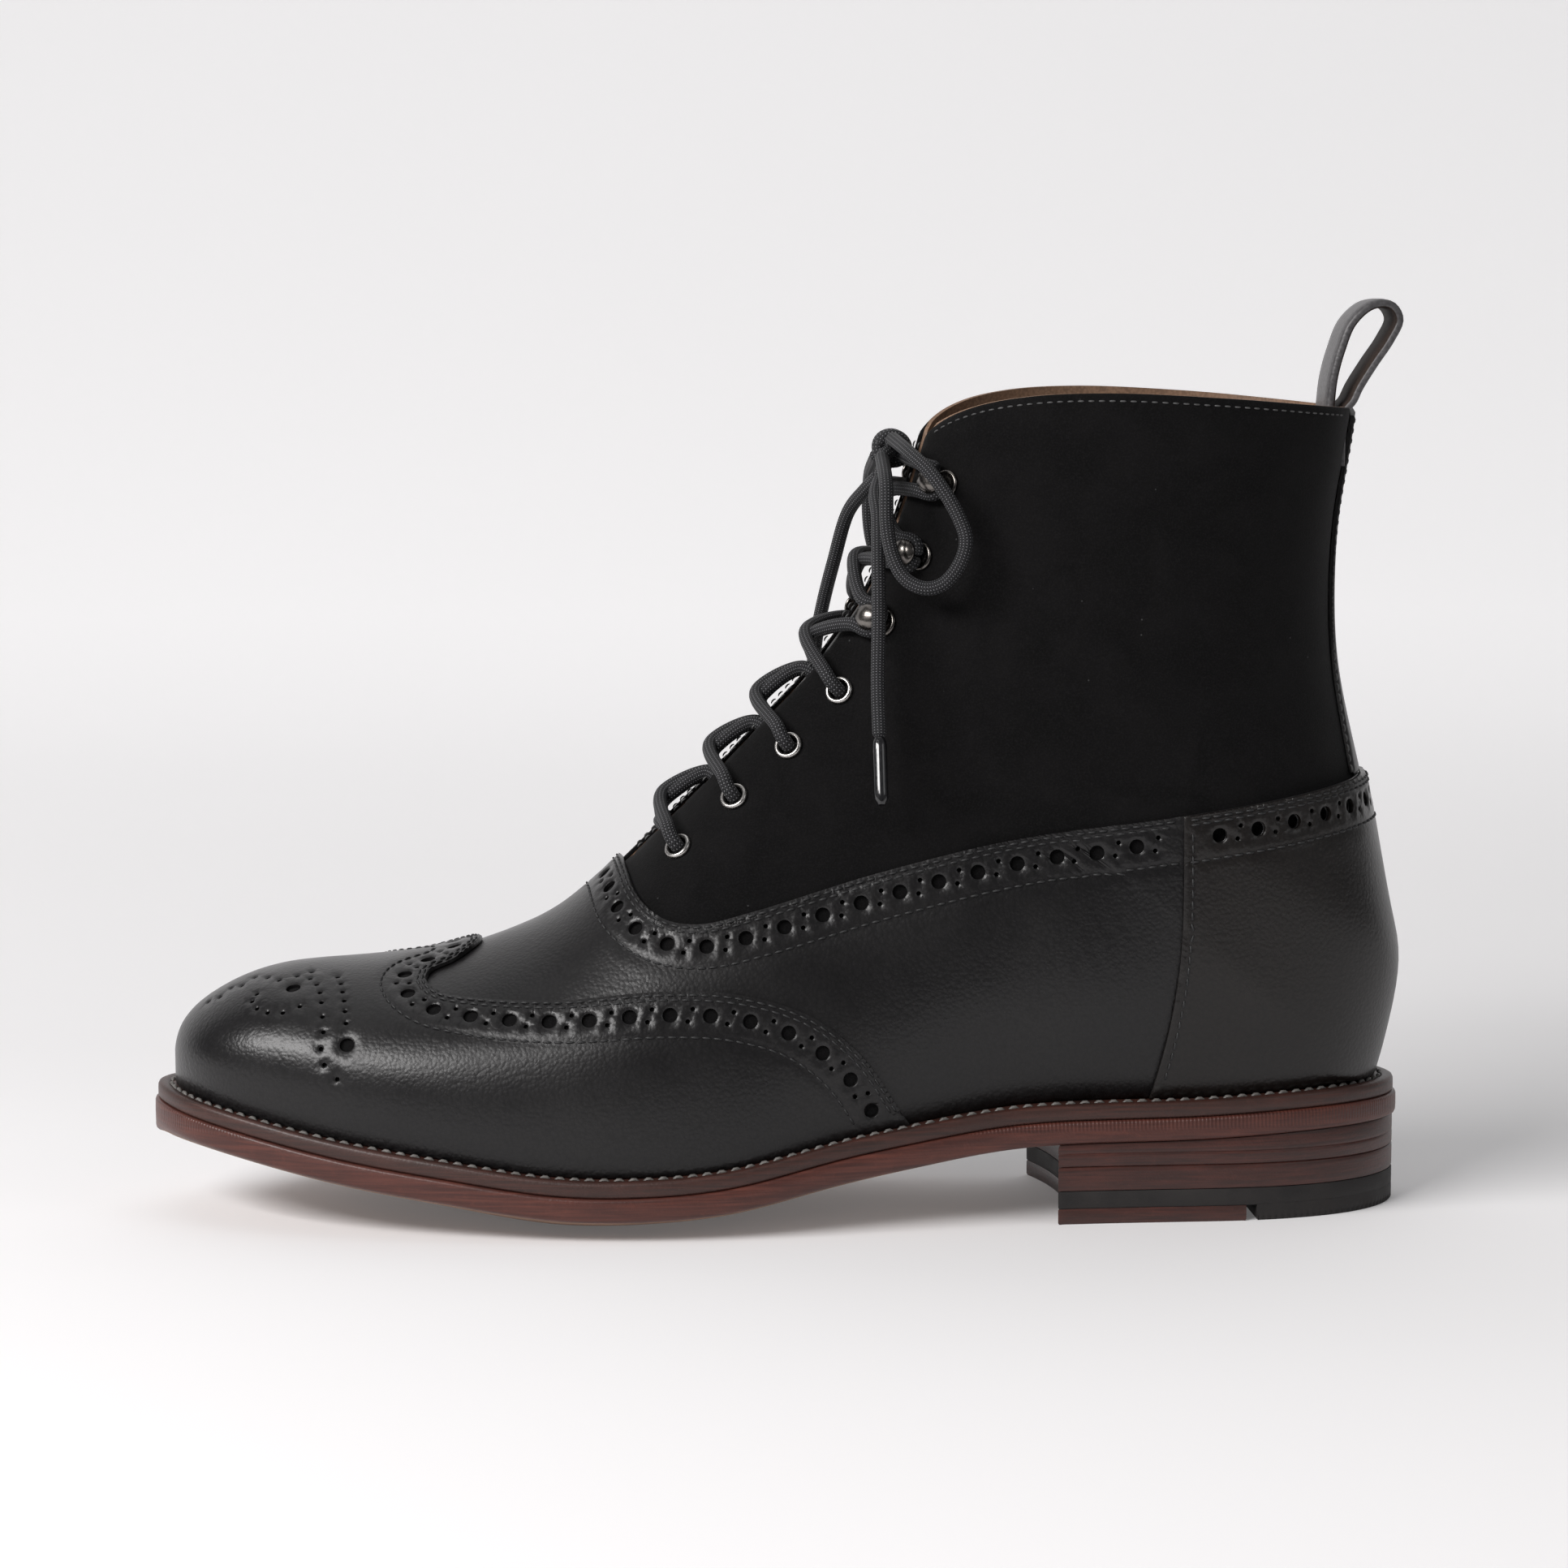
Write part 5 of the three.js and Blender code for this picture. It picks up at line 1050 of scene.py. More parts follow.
front_girths = np.linspace(1, -1, 25)
traced = {(name, side, out): trace(curve, side, out)
          for name, curve, outs in (("band", band, (FOOT_OUT,)), ("rear", rear_band, (CAP_OUT,)),
                                    ("wing", wing, (CAP_OUT,)), ("counter", heel_seam, (CAP_OUT,)),
                                    ("collar", collar, (0.0, -1.0, FOOT_OUT)), ("low", low_band, (0.0,)),
                                    ("strip", band + [0, 0.4], (FOOT_OUT,)))
          for side in (-1, 1) for out in outs}

foot_outline = closed(
    run_rows(0, FOOT_END, -1), run_rows(FOOT_END, traced["band", -1, FOOT_OUT][-1, 0], -1),
    down(traced["band", -1, FOOT_OUT]), traced["band", 1, FOOT_OUT],
    run_rows(traced["band", 1, FOOT_OUT][-1, 0], FOOT_END, 1), run_rows(FOOT_END, 0, 1),
    toe_front(front_girths))
cap_outline = closed(
    run_rows(0, traced["wing", -1, CAP_OUT][-1, 0], -1), down(traced["wing", -1, CAP_OUT]),
    traced["wing", 1, CAP_OUT], run_rows(traced["wing", 1, CAP_OUT][-1, 0], 0, 1), toe_front(front_girths))
counter_outlines = []
for side in (-1, 1):
    front, top = traced["counter", side, CAP_OUT], traced["rear", side, CAP_OUT]
    counter_outlines.append(closed(front, run_rows(front[-1, 0], FOOT_END, side),
                                   run_rows(FOOT_END, top[-1, 0], side), down(top)))

# Throat, facings and hardware
throat_row = float(np.interp(along(0.372), ridge_x(pattern_rows), pattern_rows))
instep_rows = np.arange(throat_row, TOP, 0.01)
instep = np.stack([ridge_x(instep_rows), 0 * instep_rows, ridge_z(instep_rows)], -1)
climbed = lengths_along(instep)


def ridge_point(row):
    seat = np.clip(last_seat(row), 0, HEEL_END)
    centre = np.where(np.asarray(row) < FOOT_END, TOE_TURN * sole_turn(seat), 0.0)
    return np.stack([ridge_x(row), centre, ridge_z(row)], -1)


throat_foot, throat_top = ridge_point(throat_row), ridge_point(float(TOP))
throat_length = np.linalg.norm(throat_top - throat_foot)
up_instep = (throat_top - throat_foot) / throat_length
off_instep = np.array([-up_instep[2], 0, up_instep[0]])


def throat_half(row):
    s = (ridge_point(row) - throat_foot) @ up_instep
    wide = 4.5 + 4 * (s - 4.5) / (throat_length + 26 - 4.5)
    return np.where(s < 4.5, np.sqrt(np.maximum(0, 4.5**2 - (s - 4.5) ** 2)), wide)


def girth_at(rows, half, side, out=0.0):
    """Girths near the instep where the surface is half wide."""
    girths = side * np.linspace(0, 0.5, 120)
    y = surface(rows[:, None], girths[None, :], out)[0][..., 1] * side
    return np.array([np.interp(h, line, np.abs(girths)) for h, line in zip(half, y)]) * side


def facing(side, out, collar_line):
    """The throat's edge from its foot up to the collar, and the collar from there to the back."""
    rows = np.concatenate([throat_row + np.array([0, 0.02, 0.06, 0.12, 0.2, 0.3, 0.45]),
                           np.arange(throat_row + 0.6, TOP - 0.05, 0.15)])
    line = np.stack([rows, girth_at(rows, throat_half(rows), side, out)], -1)
    line[0, 1] = 0
    p = on_surface(line, out)[0]
    free = p[:, 2] < np.interp(p[:, 0], collar[:, 0], collar[:, 1])
    end = int(np.argmin(free)) if not free.all() else len(line)
    corner = p[end - 1]
    q = on_surface(collar_line, out)[0]
    return line[:end], collar_line[(q[:, 0] > corner[0] + 0.4) & (np.abs(q[:, 1]) > abs(corner[1]) + 0.2)]


def shaft_outline(out, floor=None):
    parts = []
    for side in (-1, 1):
        edge, top = facing(side, out, traced["collar", side, out])
        if floor is None:
            base = [run_rows(0, FOOT_END, side), run_rows(FOOT_END, top[-1, 0], side)]
        else:
            base = [floor[side], run_rows(floor[side][-1, 0], top[-1, 0], side)]
        parts.append(base + [down(top), down(edge)])
    outer, inner = parts
    pieces = [*outer, *[down(part) for part in reversed(inner)]]
    if floor is None:
        pieces.append(toe_front(front_girths))
    return closed(*pieces)


quarter_outline = shaft_outline(0.0, {side: traced["low", side, 0.0] for side in (-1, 1)})
lining_outline = shaft_outline(-1.0)


def station(k, side):
    travel, depth = FITTINGS[k]
    row = float(np.interp(travel * throat_length, climbed, instep_rows))
    here, ahead = ridge_point(row), ridge_point(row + 0.1)
    up = (ahead - here) / np.linalg.norm(ahead - here)
    target = here + np.array([up[2], 0, -up[0]]) * depth * 8
    line = locate(target[[0, 2]][None], side, 0.0, side_view)
    p, n = on_surface(line, 0.0)
    p, n = p[0], n[0] * np.sign(n[0, 1] * side)
    throat = np.array([0.0, -side, 0.0])
    throat -= up * (throat @ up)
    throat -= n * (throat @ n)
    throat /= np.linalg.norm(throat)
    upward = np.cross(n, throat)
    return {"line": line[0], "point": p, "normal": n, "throat": throat, "upward": upward,
            "sense": float(np.sign(upward @ up_instep))}


stations = [[station(k, -1), station(k, 1)] for k in range(len(FITTINGS))]
SIDES = ("lateral", "medial")
EYELETS = 4

# Free cords: bow loops and lace ends, as in the part's source
knot_row = float(np.interp(SEAT + 0.925 * LEG, ridge_z(instep_rows), instep_rows))
knot = ridge_point(knot_row) + off_instep * 5


def hanging(rows, side):
    table = np.array(rows)
    return knot + BOW_LENGTH * np.stack([table[:, 0], side * table[:, 2], -table[:, 1]], -1)


def cord_piece(name, route, node_name, radius=LACE):
    obj = build(name, [tube(route, radius, 18, 0.6)], [lace_cloth], [node_name], 60)
    path = smooth_line(route, 2.6)
    length = float(np.linalg.norm(np.diff(smooth_line(route, 0.6), axis=0), axis=1).sum())
    return obj


# Knot: two turns round the crossing, the loops' and the ends' roots, and the strands from the top hooks
def by(st, out, throatwards, upward):
    return st["point"] + out * st["normal"] + throatwards * st["throat"] + upward * st["upward"]


BESIDE_NECK = 1.4 + 0.1 + LACE
UNDER_CAP = 0.3 + 0.6 + 4.1 / 2
CLEAR_OF_CAP = 1.2 + 3.2 + LACE
LACE_LIFT = 0.3 + 0.8 + 0.3 + LACE


def by_hook(st, beyond, throatwards):
    return by(st, UNDER_CAP, throatwards, beyond * BESIDE_NECK * st["sense"])


angles = np.linspace(-0.3, 2 * math.pi * 1.55, 26)
wrap = [knot + off_instep * (3.3 * math.cos(a)) + up_instep * (3.0 * math.sin(a))
        + np.array([0, -2.5 + 0.52 * a, 0]) for a in angles]
knot_parts = [tube(wrap, LACE, LACE_SIDES, LACE_STEP)]
for side in (-1, 1):
    loop, end = hanging(BOW, side), hanging(NEAR_END if side < 0 else FAR_END, side)
    middle = knot + np.array([0, side * 1.2, 0])
    for start in (loop[0], loop[-1]):
        half_way = (start + middle) / 2 + [0, side * 0.8, 0]
        strand = [start + (start - middle) * 0.04, half_way, middle]
        knot_parts.append(tube(strand, LACE, LACE_SIDES, LACE_STEP))
    strand = [end[0] + (end[0] - knot) * 0.05, (end[0] + knot) / 2, knot]
    knot_parts.append(tube(strand, LACE, LACE_SIDES, LACE_STEP))
    top = stations[-1][0 if side < 0 else 1]
    knot_parts.append(tube([by_hook(top, 1, 1.4), by_hook(top, 1, CLEAR_OF_CAP), knot - off_instep * 2.5,
                            knot + [0, -side * 1.5, 0]], LACE, LACE_SIDES, LACE_STEP))
knot_piece = build("bow_knot", knot_parts, [lace_cloth], ["lace_knot"], 60)

for k, (name, side) in enumerate(zip(SIDES, (-1, 1))):
    end = hanging(NEAR_END if side < 0 else FAR_END, side)
    onward = (end[-1] - end[-2]) / np.linalg.norm(end[-1] - end[-2])
    start = end[-1] - 0.4 * onward
    sleeve = tube([start, start + 0.5 * TIP_LENGTH * onward, start + TIP_LENGTH * onward], 1.72, 20, 1.2)
    tip = build(f"lace_tip_sleeve_{name}", [sleeve], [tip_black], [f"lace_tip_{name}"], 35)
    cord_piece(f"bow_loop_{name}", hanging(BOW, side), f"lace_loop_{name}")
    cord_piece(f"hanging_end_{name}", end, f"lace_end_{name}")

# The lace from the lowest eyelets to the top hooks
def over_throat(a, b, share, out):
    middle = a["point"] + (b["point"] - a["point"]) * share
    row = float(np.interp(middle[2] + 8 * up_instep[0], ridge_z(instep_rows), instep_rows))
    return ridge_point(row) + off_instep * out


def in_throat(st, side):
    p = over_throat(st, st, 0.5, LACE + 0.3 - WALL)
    return p + [0, side * 0.4 * 4.5, 0]


for k in range(len(FITTINGS) - 1):
    strands = []
    for s in (0, 1):
        start, to, other = stations[k][s], stations[k + 1][1 - s], (1 if s == 0 else -1)
        route = []
        if k < EYELETS:
            route += [by(start, -3.4, 0.9, 0), by(start, -1.2, 0.1, 0), by(start, 1.1, 0.0, 0),
                      by(start, 2.7, 1.5, 0.2 * start["sense"]),
                      by(start, LACE_LIFT + 0.4, 4, 0.9 * start["sense"])]
        else:
            route += [by(start, UNDER_CAP, -0.9, 0), by_hook(start, 0.8, 0.1), by_hook(start, 1, 1.9),
                      by_hook(start, 1, CLEAR_OF_CAP)]
        lift = LACE_LIFT + 0.3 + (1.1 if s == 0 else -0.6)
        cross = over_throat(start, to, 0.4 if k < EYELETS else 0.5, lift)
        route.append(cross)
        if k + 1 < EYELETS:
            route += [in_throat(to, other), by(to, -4.0, 3.2, -0.6 * to["sense"]), by(to, -3.4, 0.9, 0)]
        else:
            route += [by_hook(to, -1, CLEAR_OF_CAP), by_hook(to, -1, 1.9), by_hook(to, -0.8, 0.1),
                      by(to, UNDER_CAP, -0.9, 0)]
        strands.append(tube(route, LACE, LACE_SIDES, LACE_STEP))
    if k == 0:
        a, b = stations[0]
        strands.append(tube([by(a, -3.4, 0.9, 0), by(a, -4.2, 4.5, 0), in_throat(a, 0), by(b, -4.2, 4.5, 0),
                             by(b, -3.4, 0.9, 0)], LACE, LACE_SIDES, LACE_STEP))
    build(f"lace_strands_{k + 1}", strands, [lace_cloth], [f"lace_crossing_{k + 1}"], 60)

# Eyelets and speed hooks
eyelet_profile = [(2.35, -1.7), (2.32, -0.6), (2.33, 0.5), (2.4, 0.85), (2.6, 1.06), (2.9, 1.12), (3.2, 1.02),
                  (3.42, 0.72), (3.5, 0.3), (3.45, 0.02), (2.85, 0.0), (2.8, -1.7), (2.35, -1.7)]
base_profile = [(0.01, 0.95), (1.6, 0.95), (2.0, 0.84), (2.3, 0.8), (2.7, 1.0), (3.1, 1.02), (3.4, 0.85),
                (3.5, 0.55), (3.45, 0.05), (0.01, 0.05)]
cap_profile = [(0.01, 6.95), (0.7, 6.93), (1.4, 6.8), (2.1, 6.52), (2.7, 6.05), (3.1, 5.5), (3.2, 5.15),
               (3.1, 4.95), (2.4, 4.85), (0.01, 4.85)]


def hook_cap(local):
    """Leans the cap to the throat, flattens its throat side and flares that edge up a little."""
    x, y, z = local.T
    lean = np.clip(x / 3.2, 0, 1)
    x = np.where(x > 0, x * 1.12, x * 0.96)
    z = z - 0.55 * lean**2 * (z > 5.6) + 0.25 * lean**3
    y = y * (1 + 0.12 * lean**2)
    return np.stack([x + 1.2, y, z], -1)


for k, pair in enumerate(stations):
    for s, st in enumerate(pair):
        if k < EYELETS:
            build(f"rolled_eyelet_{SIDES[s]}_{k + 1}", [revolve(eyelet_profile, st)], [silver],
                  [f"eyelet_{SIDES[s]}_{k + 1}"], 60)
            continue
        parts = [revolve(base_profile, st), revolve(cap_profile, st, 32, hook_cap)]
        outline = []
        for t in np.linspace(0, 1, 9):
            bow = 2.45 + 0.5 * math.sin(math.pi * t)
            outline.append([(bow + dx, dy * (1.25 + 0.5 * abs(2 * t - 1) ** 2), 0.7 + 4.6 * t)
                            for dx, dy in ((-0.45, -1), (0.45, -0.9), (0.45, 0.9), (-0.45, 1))])
        local = np.array(outline).reshape(-1, 3)
        axes = np.stack([st["throat"], st["upward"], st["normal"]])
        faces = [(4 * i + j, 4 * i + (j + 1) % 4, 4 * i + 4 + (j + 1) % 4, 4 * i + 4 + j)
                 for i in range(8) for j in range(4)]
        faces += [(0, 1, 2, 3), (32, 33, 34, 35)]
        parts.append((st["point"] + local @ axes, faces, None, 0))
        build(f"speed_hook_{SIDES[s]}_{k - EYELETS + 1}", parts, [gunmetal],
              [f"hook_{SIDES[s]}_{k - EYELETS + 1}"], 50)

# Brogue holes and stitch lines
EDGE_TO_HOLES, EDGE_TO_SEAM = 5.7, 11.0


def own_side(line, side, out, low=-1e9, high=1e9):
    x = on_surface(line, out)[0][:, 0]
    return line[(line[:, 1] * side > 0.006) & (x > low) & (x < high)]


def brogue(line, side, out, start=0.5):
    """Large holes along a line, and a pair of small ones between each two."""
    large = spaced(line, HOLE_PITCH, out, start)
    small = []
    for shift, across in ((0.44, 1.5), (0.56, -1.5)):
        places = spaced(line, HOLE_PITCH, out, start + shift)
        p, n = on_surface(places, out)
        t = on_surface(spaced(line, HOLE_PITCH, out, start + shift + 0.05)[:len(places)], out)[0] - p[:len(
            spaced(line, HOLE_PITCH, out, start + shift + 0.05))]
        places, n = places[:len(t)], n[:len(t)]
        t /= np.linalg.norm(t, axis=1, keepdims=True) + 1e-9
        small.append(walk(places, np.cross(n, t) * across * side, out))
    return large, np.vstack(small)


def punched(large, small, out):
    return [*circles(large, LARGE_HOLE, 16, out), *circles(small, SMALL_HOLE, 8, out)]


foot_holes, cap_holes, counter_holes = [], [], []
foot_seams, cap_seams, counter_seams = [], [], []
for side in (-1, 1):
    edge = traced["band", side, FOOT_OUT]
    limit = float(meet[0])
    line = own_side(beside(edge, side * EDGE_TO_HOLES, FOOT_OUT), side, FOOT_OUT, high=limit - 1.4)
    foot_holes += punched(*brogue(line, side, FOOT_OUT, 0.35), FOOT_OUT)
    for distance in (0.95, 2.15, EDGE_TO_SEAM):
        foot_seams.append(own_side(beside(edge, side * distance, FOOT_OUT), side, FOOT_OUT, high=limit - 0.8))
    edge = traced["rear", side, CAP_OUT]
    line = beside(edge, side * EDGE_TO_HOLES, CAP_OUT)
    line = own_side(line, side, CAP_OUT, low=limit + 3.6)
    counter_holes += punched(*brogue(line, side, CAP_OUT, 0.45), CAP_OUT)
    for distance in (0.95, 2.15, EDGE_TO_SEAM):
        counter_seams.append(own_side(beside(edge, side * distance, CAP_OUT), side, CAP_OUT, low=limit + 1.2))
    counter_seams.append(beside(traced["counter", side, CAP_OUT], -side * 2.1, CAP_OUT)[3:-3])
    edge = traced["wing", side, CAP_OUT]
    line = own_side(beside(edge, side * EDGE_TO_HOLES, CAP_OUT), side, CAP_OUT)
    cap_holes += punched(*brogue(line[:-2], side, CAP_OUT, 0.3), CAP_OUT)
    for distance in (0.95, 2.15, EDGE_TO_SEAM):
        cap_seams.append(own_side(beside(edge, side * distance, CAP_OUT), side, CAP_OUT)[:-2])

# Toe medallion, from the photograph's pixels, and its mirror image on the inner half
medallion_large = [(361, 1216), (427, 1287)]
medallion_small = [
    (416, 1203), (420, 1211), (422, 1221), (424, 1232), (425, 1245), (426, 1260),
    (384, 1197), (382, 1205), (390, 1212), (394, 1222), (396, 1234), (397, 1252), (398, 1271), (395, 1292),
    (399, 1312), (415, 1330), (366, 1202), (344, 1207), (330, 1204), (314, 1204), (298, 1214), (285, 1217),
    (271, 1228), (257, 1234), (316, 1224), (310, 1233), (316, 1242), (329, 1247), (348, 1247), (369, 1239)]
for side in (-1, 1):
    flip = np.array([1.0, -side])
    large = locate(np.array(medallion_large, float), -1, CAP_OUT, pixel) * flip
    small = locate(np.array(medallion_small, float), -1, CAP_OUT, pixel) * flip
    cap_holes += punched(large, small, CAP_OUT)

# Panels
eyelet_holes = circles(np.array([st["line"] for pair in stations[:EYELETS] for st in pair]), 2.95, 20, 0.0)
panel("suede_quarters", [quarter_outline], list(eyelet_holes), 0.0, 1.0, 2.3, suede, ["upper"])
lining_holes = circles(np.array([st["line"] for pair in stations[:EYELETS] for st in pair]), 2.95, 12, -1.0)
panel("shaft_lining", [lining_outline], list(lining_holes), -1.02, 0.95, 4.2, lining_leather,
      ["upper"], lip=0.1)
panel("foot_leather_panel", [foot_outline], foot_holes + counter_holes, FOOT_OUT, OVERLAY, 2.1,
      black_leather, ["foot_leather"], foot_seams)
panel("wing_cap_panel", [cap_outline], cap_holes, CAP_OUT, OVERLAY, 1.9, black_leather,
      ["wing_cap"], cap_seams)
# A near-black matte suede sheet between the foot leather and the wing cap, seen through the cap's holes:
# painted shade, so the holes read black as if deep in shadow.
turned = np.vstack([beside(traced["wing", side, CAP_OUT], side * 1.6, CAP_OUT)[::side] for side in (-1, 1)])
painted_shade_backing_outline = closed(run_rows(0, turned[0, 0], -1), turned, run_rows(turned[-1, 0], 0, 1),
                         toe_front(front_girths))
panel("wing_cap_painted_shade_backing", [painted_shade_backing_outline], [], FOOT_OUT + 0.28, 0.2, 3.2, suede, [], lip=0.02)
panel("heel_counter_panel", counter_outlines, counter_holes, CAP_OUT, OVERLAY, 2.1,
      counter_leather, ["heel_counter"], counter_seams)

# Back strip, wider downwards
strip_outlines, strip_edges = [], []
band_back = float(band[-1, 1])
strip_profile = np.array([[band_back, 15], [band_back + 0.35 * (SEAT + LEG - band_back), 9.3],
                          [SEAT + LEG, 5.5], [SEAT + 1.2 * LEG, 5.5]])
for side in (-1, 1):
    low, top = traced["strip", side, FOOT_OUT], traced["collar", side, FOOT_OUT]
    rows = np.linspace(low[-1, 0] - 0.9, top[-1, 0] + 0.6, 60)
    girths = np.linspace(0.55, 1, 160)
    grid = surface(rows[:, None], side * girths[None, :], FOOT_OUT)[0]
    edge = []
    for row, line in zip(rows, grid):
        want = np.interp(line[:, 2], strip_profile[:, 0], strip_profile[:, 1])
        edge.append([row, side * np.interp(0, want - line[:, 1] * side, girths)])
    edge = np.array(edge)
    p = on_surface(edge, FOOT_OUT)[0]
    fits = ((p[:, 2] > np.interp(p[:, 0], band[:, 0], band[:, 1]) + 0.8)
            & (p[:, 2] < np.interp(p[:, 0], collar[:, 0], collar[:, 1]) - 0.4))
    edge = edge[fits]
    ends = []
    for across, corner in ((low, edge[:1]), (top, edge[-1:])):
        p, q = on_surface(across, FOOT_OUT)[0], on_surface(corner, FOOT_OUT)[0][0]
        ends.append(across[(np.abs(p[:, 1]) < abs(q[1]) - 0.2) & (p[:, 0] > q[0])])
    tail, head = ends
    strip_outlines.append(closed(down(tail), edge, head, run_rows(head[-1, 0], tail[-1, 0], side)))
    strip_edges.append(edge)
panel("back_strip_panel", strip_outlines, [], FOOT_OUT, OVERLAY, 1.8, strip_leather,
      ["back_strip"],
      [beside(edge, -side * 1.5, FOOT_OUT) for side, edge in zip((-1, 1), strip_edges)])

# Tongue, behind the throat
tongue_foot = float(throat_foot[0]) - TONGUE_ROOT * up_instep[0]
tongue_start = float(np.interp(tongue_foot, ridge_x(pattern_rows), pattern_rows))
rows = np.linspace(tongue_start, TOP - 0.05, 90)
top_z = np.interp(ridge_x(rows), collar[:, 0], collar[:, 1]) - 3
rows = rows[ridge_z(rows) - 2 < top_z]
s = (ridge_point(rows) - throat_foot) @ up_instep + TONGUE_ROOT
round_foot = np.sqrt(np.maximum(0.01, TONGUE_FOOT_HALF**2 - np.clip(TONGUE_FOOT_HALF - s, 0, None) ** 2))
half = np.minimum(TONGUE_FOOT_HALF + 6.3 * np.clip(s / throat_length, 0, 1), round_foot)
round_top = np.clip((rows[-1] - rows) / 0.8, 0, 1)
half = half * (0.8 + 0.2 * np.sqrt(1 - (1 - round_top) ** 2))
tongue_edges = [np.stack([rows, girth_at(rows, half, side, -2.3)], -1) for side in (-1, 1)]
verts, polygons, marks = sheet_mesh([closed(tongue_edges[0], down(tongue_edges[1]))], [], -2.3, 1.7, 3.0)
build("tongue_panel", [(verts, polygons, None, 0)], [strip_leather], ["tongue"], 42, marks)

# Stitches
black_rows = [sewn(line, FOOT_OUT) for line in foot_seams]
black_rows += [sewn(line, CAP_OUT) for line in cap_seams + counter_seams]
build("black_stitches", black_rows, [black_thread], [], 60)
grey_rows = []
for side in (-1, 1):
    edge, top = facing(side, 0.0, traced["collar", side, 0.0])
    grey_rows.append(sewn(beside(edge[4:], -side * 1.9, 0.0), 0.0, 2.5, 1.7, 0.42, 0.05))
    grey_rows.append(sewn(beside(top, side * 1.8, 0.0)[2:-6], 0.0, 2.5, 1.7, 0.42, 0.05))
    strip_seam = beside(strip_edges[(side + 1) // 2], -side * 1.5, FOOT_OUT)
    grey_rows.append(sewn(strip_seam, FOOT_OUT, 2.5, 2.0, 0.45, 0.12))
build("grey_stitches", grey_rows, [grey_thread], [], 60)

# Pull loop: a folded strap, grain side out, the grain side painted light grey as a painted highlight
collar_back = np.array([float(along(SHANK[-1, 0])), 0, float(collar[-1, 1])])
tucked = LOOP + [[-0.085, 0.05], [-0.12, -0.03], [-0.128, -0.2], [-0.13, -0.45]]
spine = smooth_line([collar_back + LOOP_HEIGHT * np.array([back, 0, up]) for back, up in tucked], 1.0)
run = np.gradient(spine, axis=0)
run /= np.linalg.norm(run, axis=1, keepdims=True)
out_of = np.stack([-run[:, 2], 0 * run[:, 0], run[:, 0]], -1)
section = [(-8, 0.0), (-7.85, 0.62), (-7.4, 1.0), (-4, 1.14), (0, 1.17), (4, 1.14), (7.4, 1.0), (7.85, 0.62),
           (8, 0.0), (7.85, -0.62), (7.4, -1.0), (0, -1.1), (-7.4, -1.0), (-7.85, -0.62)]
verts = np.vstack([spine + out_of * h + np.array([0, y, 0]) for y, h in section])
count, sides = len(spine), len(section)
faces, numbers = [], []
for j in range(sides):
    m = (j + 1) % sides
    for i in range(count - 1):
        faces.append((j * count + i, j * count + i + 1, m * count + i + 1, m * count + i))
        numbers.append(1 if 9 <= j <= 12 else 0)
faces += [tuple(j * count for j in range(sides)), tuple(j * count + count - 1 for j in range(sides))]
numbers += [1, 1]
build("pull_loop_strap", [(verts, faces, None, numbers)], [loop_leather_painted_highlight, flesh_side],
      ["pull_loop"], 50)

# Sole: rings of points round the outline, from the middle of the top over the edge to underneath
SOLE_COUNT = 220


def sole_ring(inset, centred, height):
    rows = np.linspace(0, HEEL_END, SOLE_COUNT)
    outer, inner = rim(rows, -1, inset), rim(rows, 1, inset)
    middle = (outer + inner) / 2
    plan = np.vstack([outer + (middle - outer) * centred, (inner + (middle - inner) * centred)[-2:0:-1]])
    return np.c_[plan, height(plan[:, 0], plan[:, 1])]


def rings_mesh(rings, numbers=None, close=False):
    n = len(rings[0])
    verts = np.vstack(rings)
    widest = max(rings, key=lambda ring: np.ptp(ring[:, 1]))
    length = lengths_along(np.vstack([widest, widest[:1]]))
    faces, uvs, kinds = [], [], []
    count = len(rings)
    for i in range(count if close else count - 1):
        k = (i + 1) % count
        for j in range(n):
            m = (j + 1) % n
            faces.append((i * n + j, i * n + m, k * n + m, k * n + j))
            z = [rings[i][j, 2], rings[i][m, 2], rings[k][m, 2], rings[k][j, 2]]
            uvs.append(list(zip((length[j], length[j + 1], length[j + 1], length[j]), z)))
            kinds.append(numbers[i] if numbers else 0)
    return verts, faces, uvs, kinds


def top_of(x, y):
    return outsole_top(x)


rings, kinds = [], []
for centred in (1.0, 0.6, 0.3):
    rings.append(sole_ring(6, centred, top_of))
rings += [sole_ring(6, 0, top_of), sole_ring(0.75, 0, top_of),
          sole_ring(0.2, 0, lambda x, y: top_of(x, y) - 0.25),
          sole_ring(0.02, 0, lambda x, y: top_of(x, y) - 0.75)]

def low_side(share, up):
    """Heights on the sole's edge, a share of the way from near the underside to near the top."""
    def height(x, y):
        low = underside(x, y) + up
        return low + share * (top_of(x, y) - 0.75 - low)
    return height


rings += [sole_ring(0.0, 0, low_side(0.6, 0.8)), sole_ring(0.0, 0, low_side(0.3, 0.8)),
          sole_ring(0.05, 0, low_side(0, 0.9)), sole_ring(0.3, 0, low_side(0, 0.35)),
          sole_ring(0.9, 0, low_side(0, 0.05)),
          sole_ring(3, 0, underside), sole_ring(6, 0, underside)]
for centred in (0.15, 0.3, 0.5, 0.7, 0.85, 1.0):
    rings.append(sole_ring(6, centred, underside))
kinds = [0] * 11 + [1] * (len(rings) - 12)
build("leather_outsole", [rings_mesh(rings, kinds)], [edge_brown, tread_brown], ["outsole"], 55)


def over_sole(up):
    return lambda x, y: outsole_top(x) + up


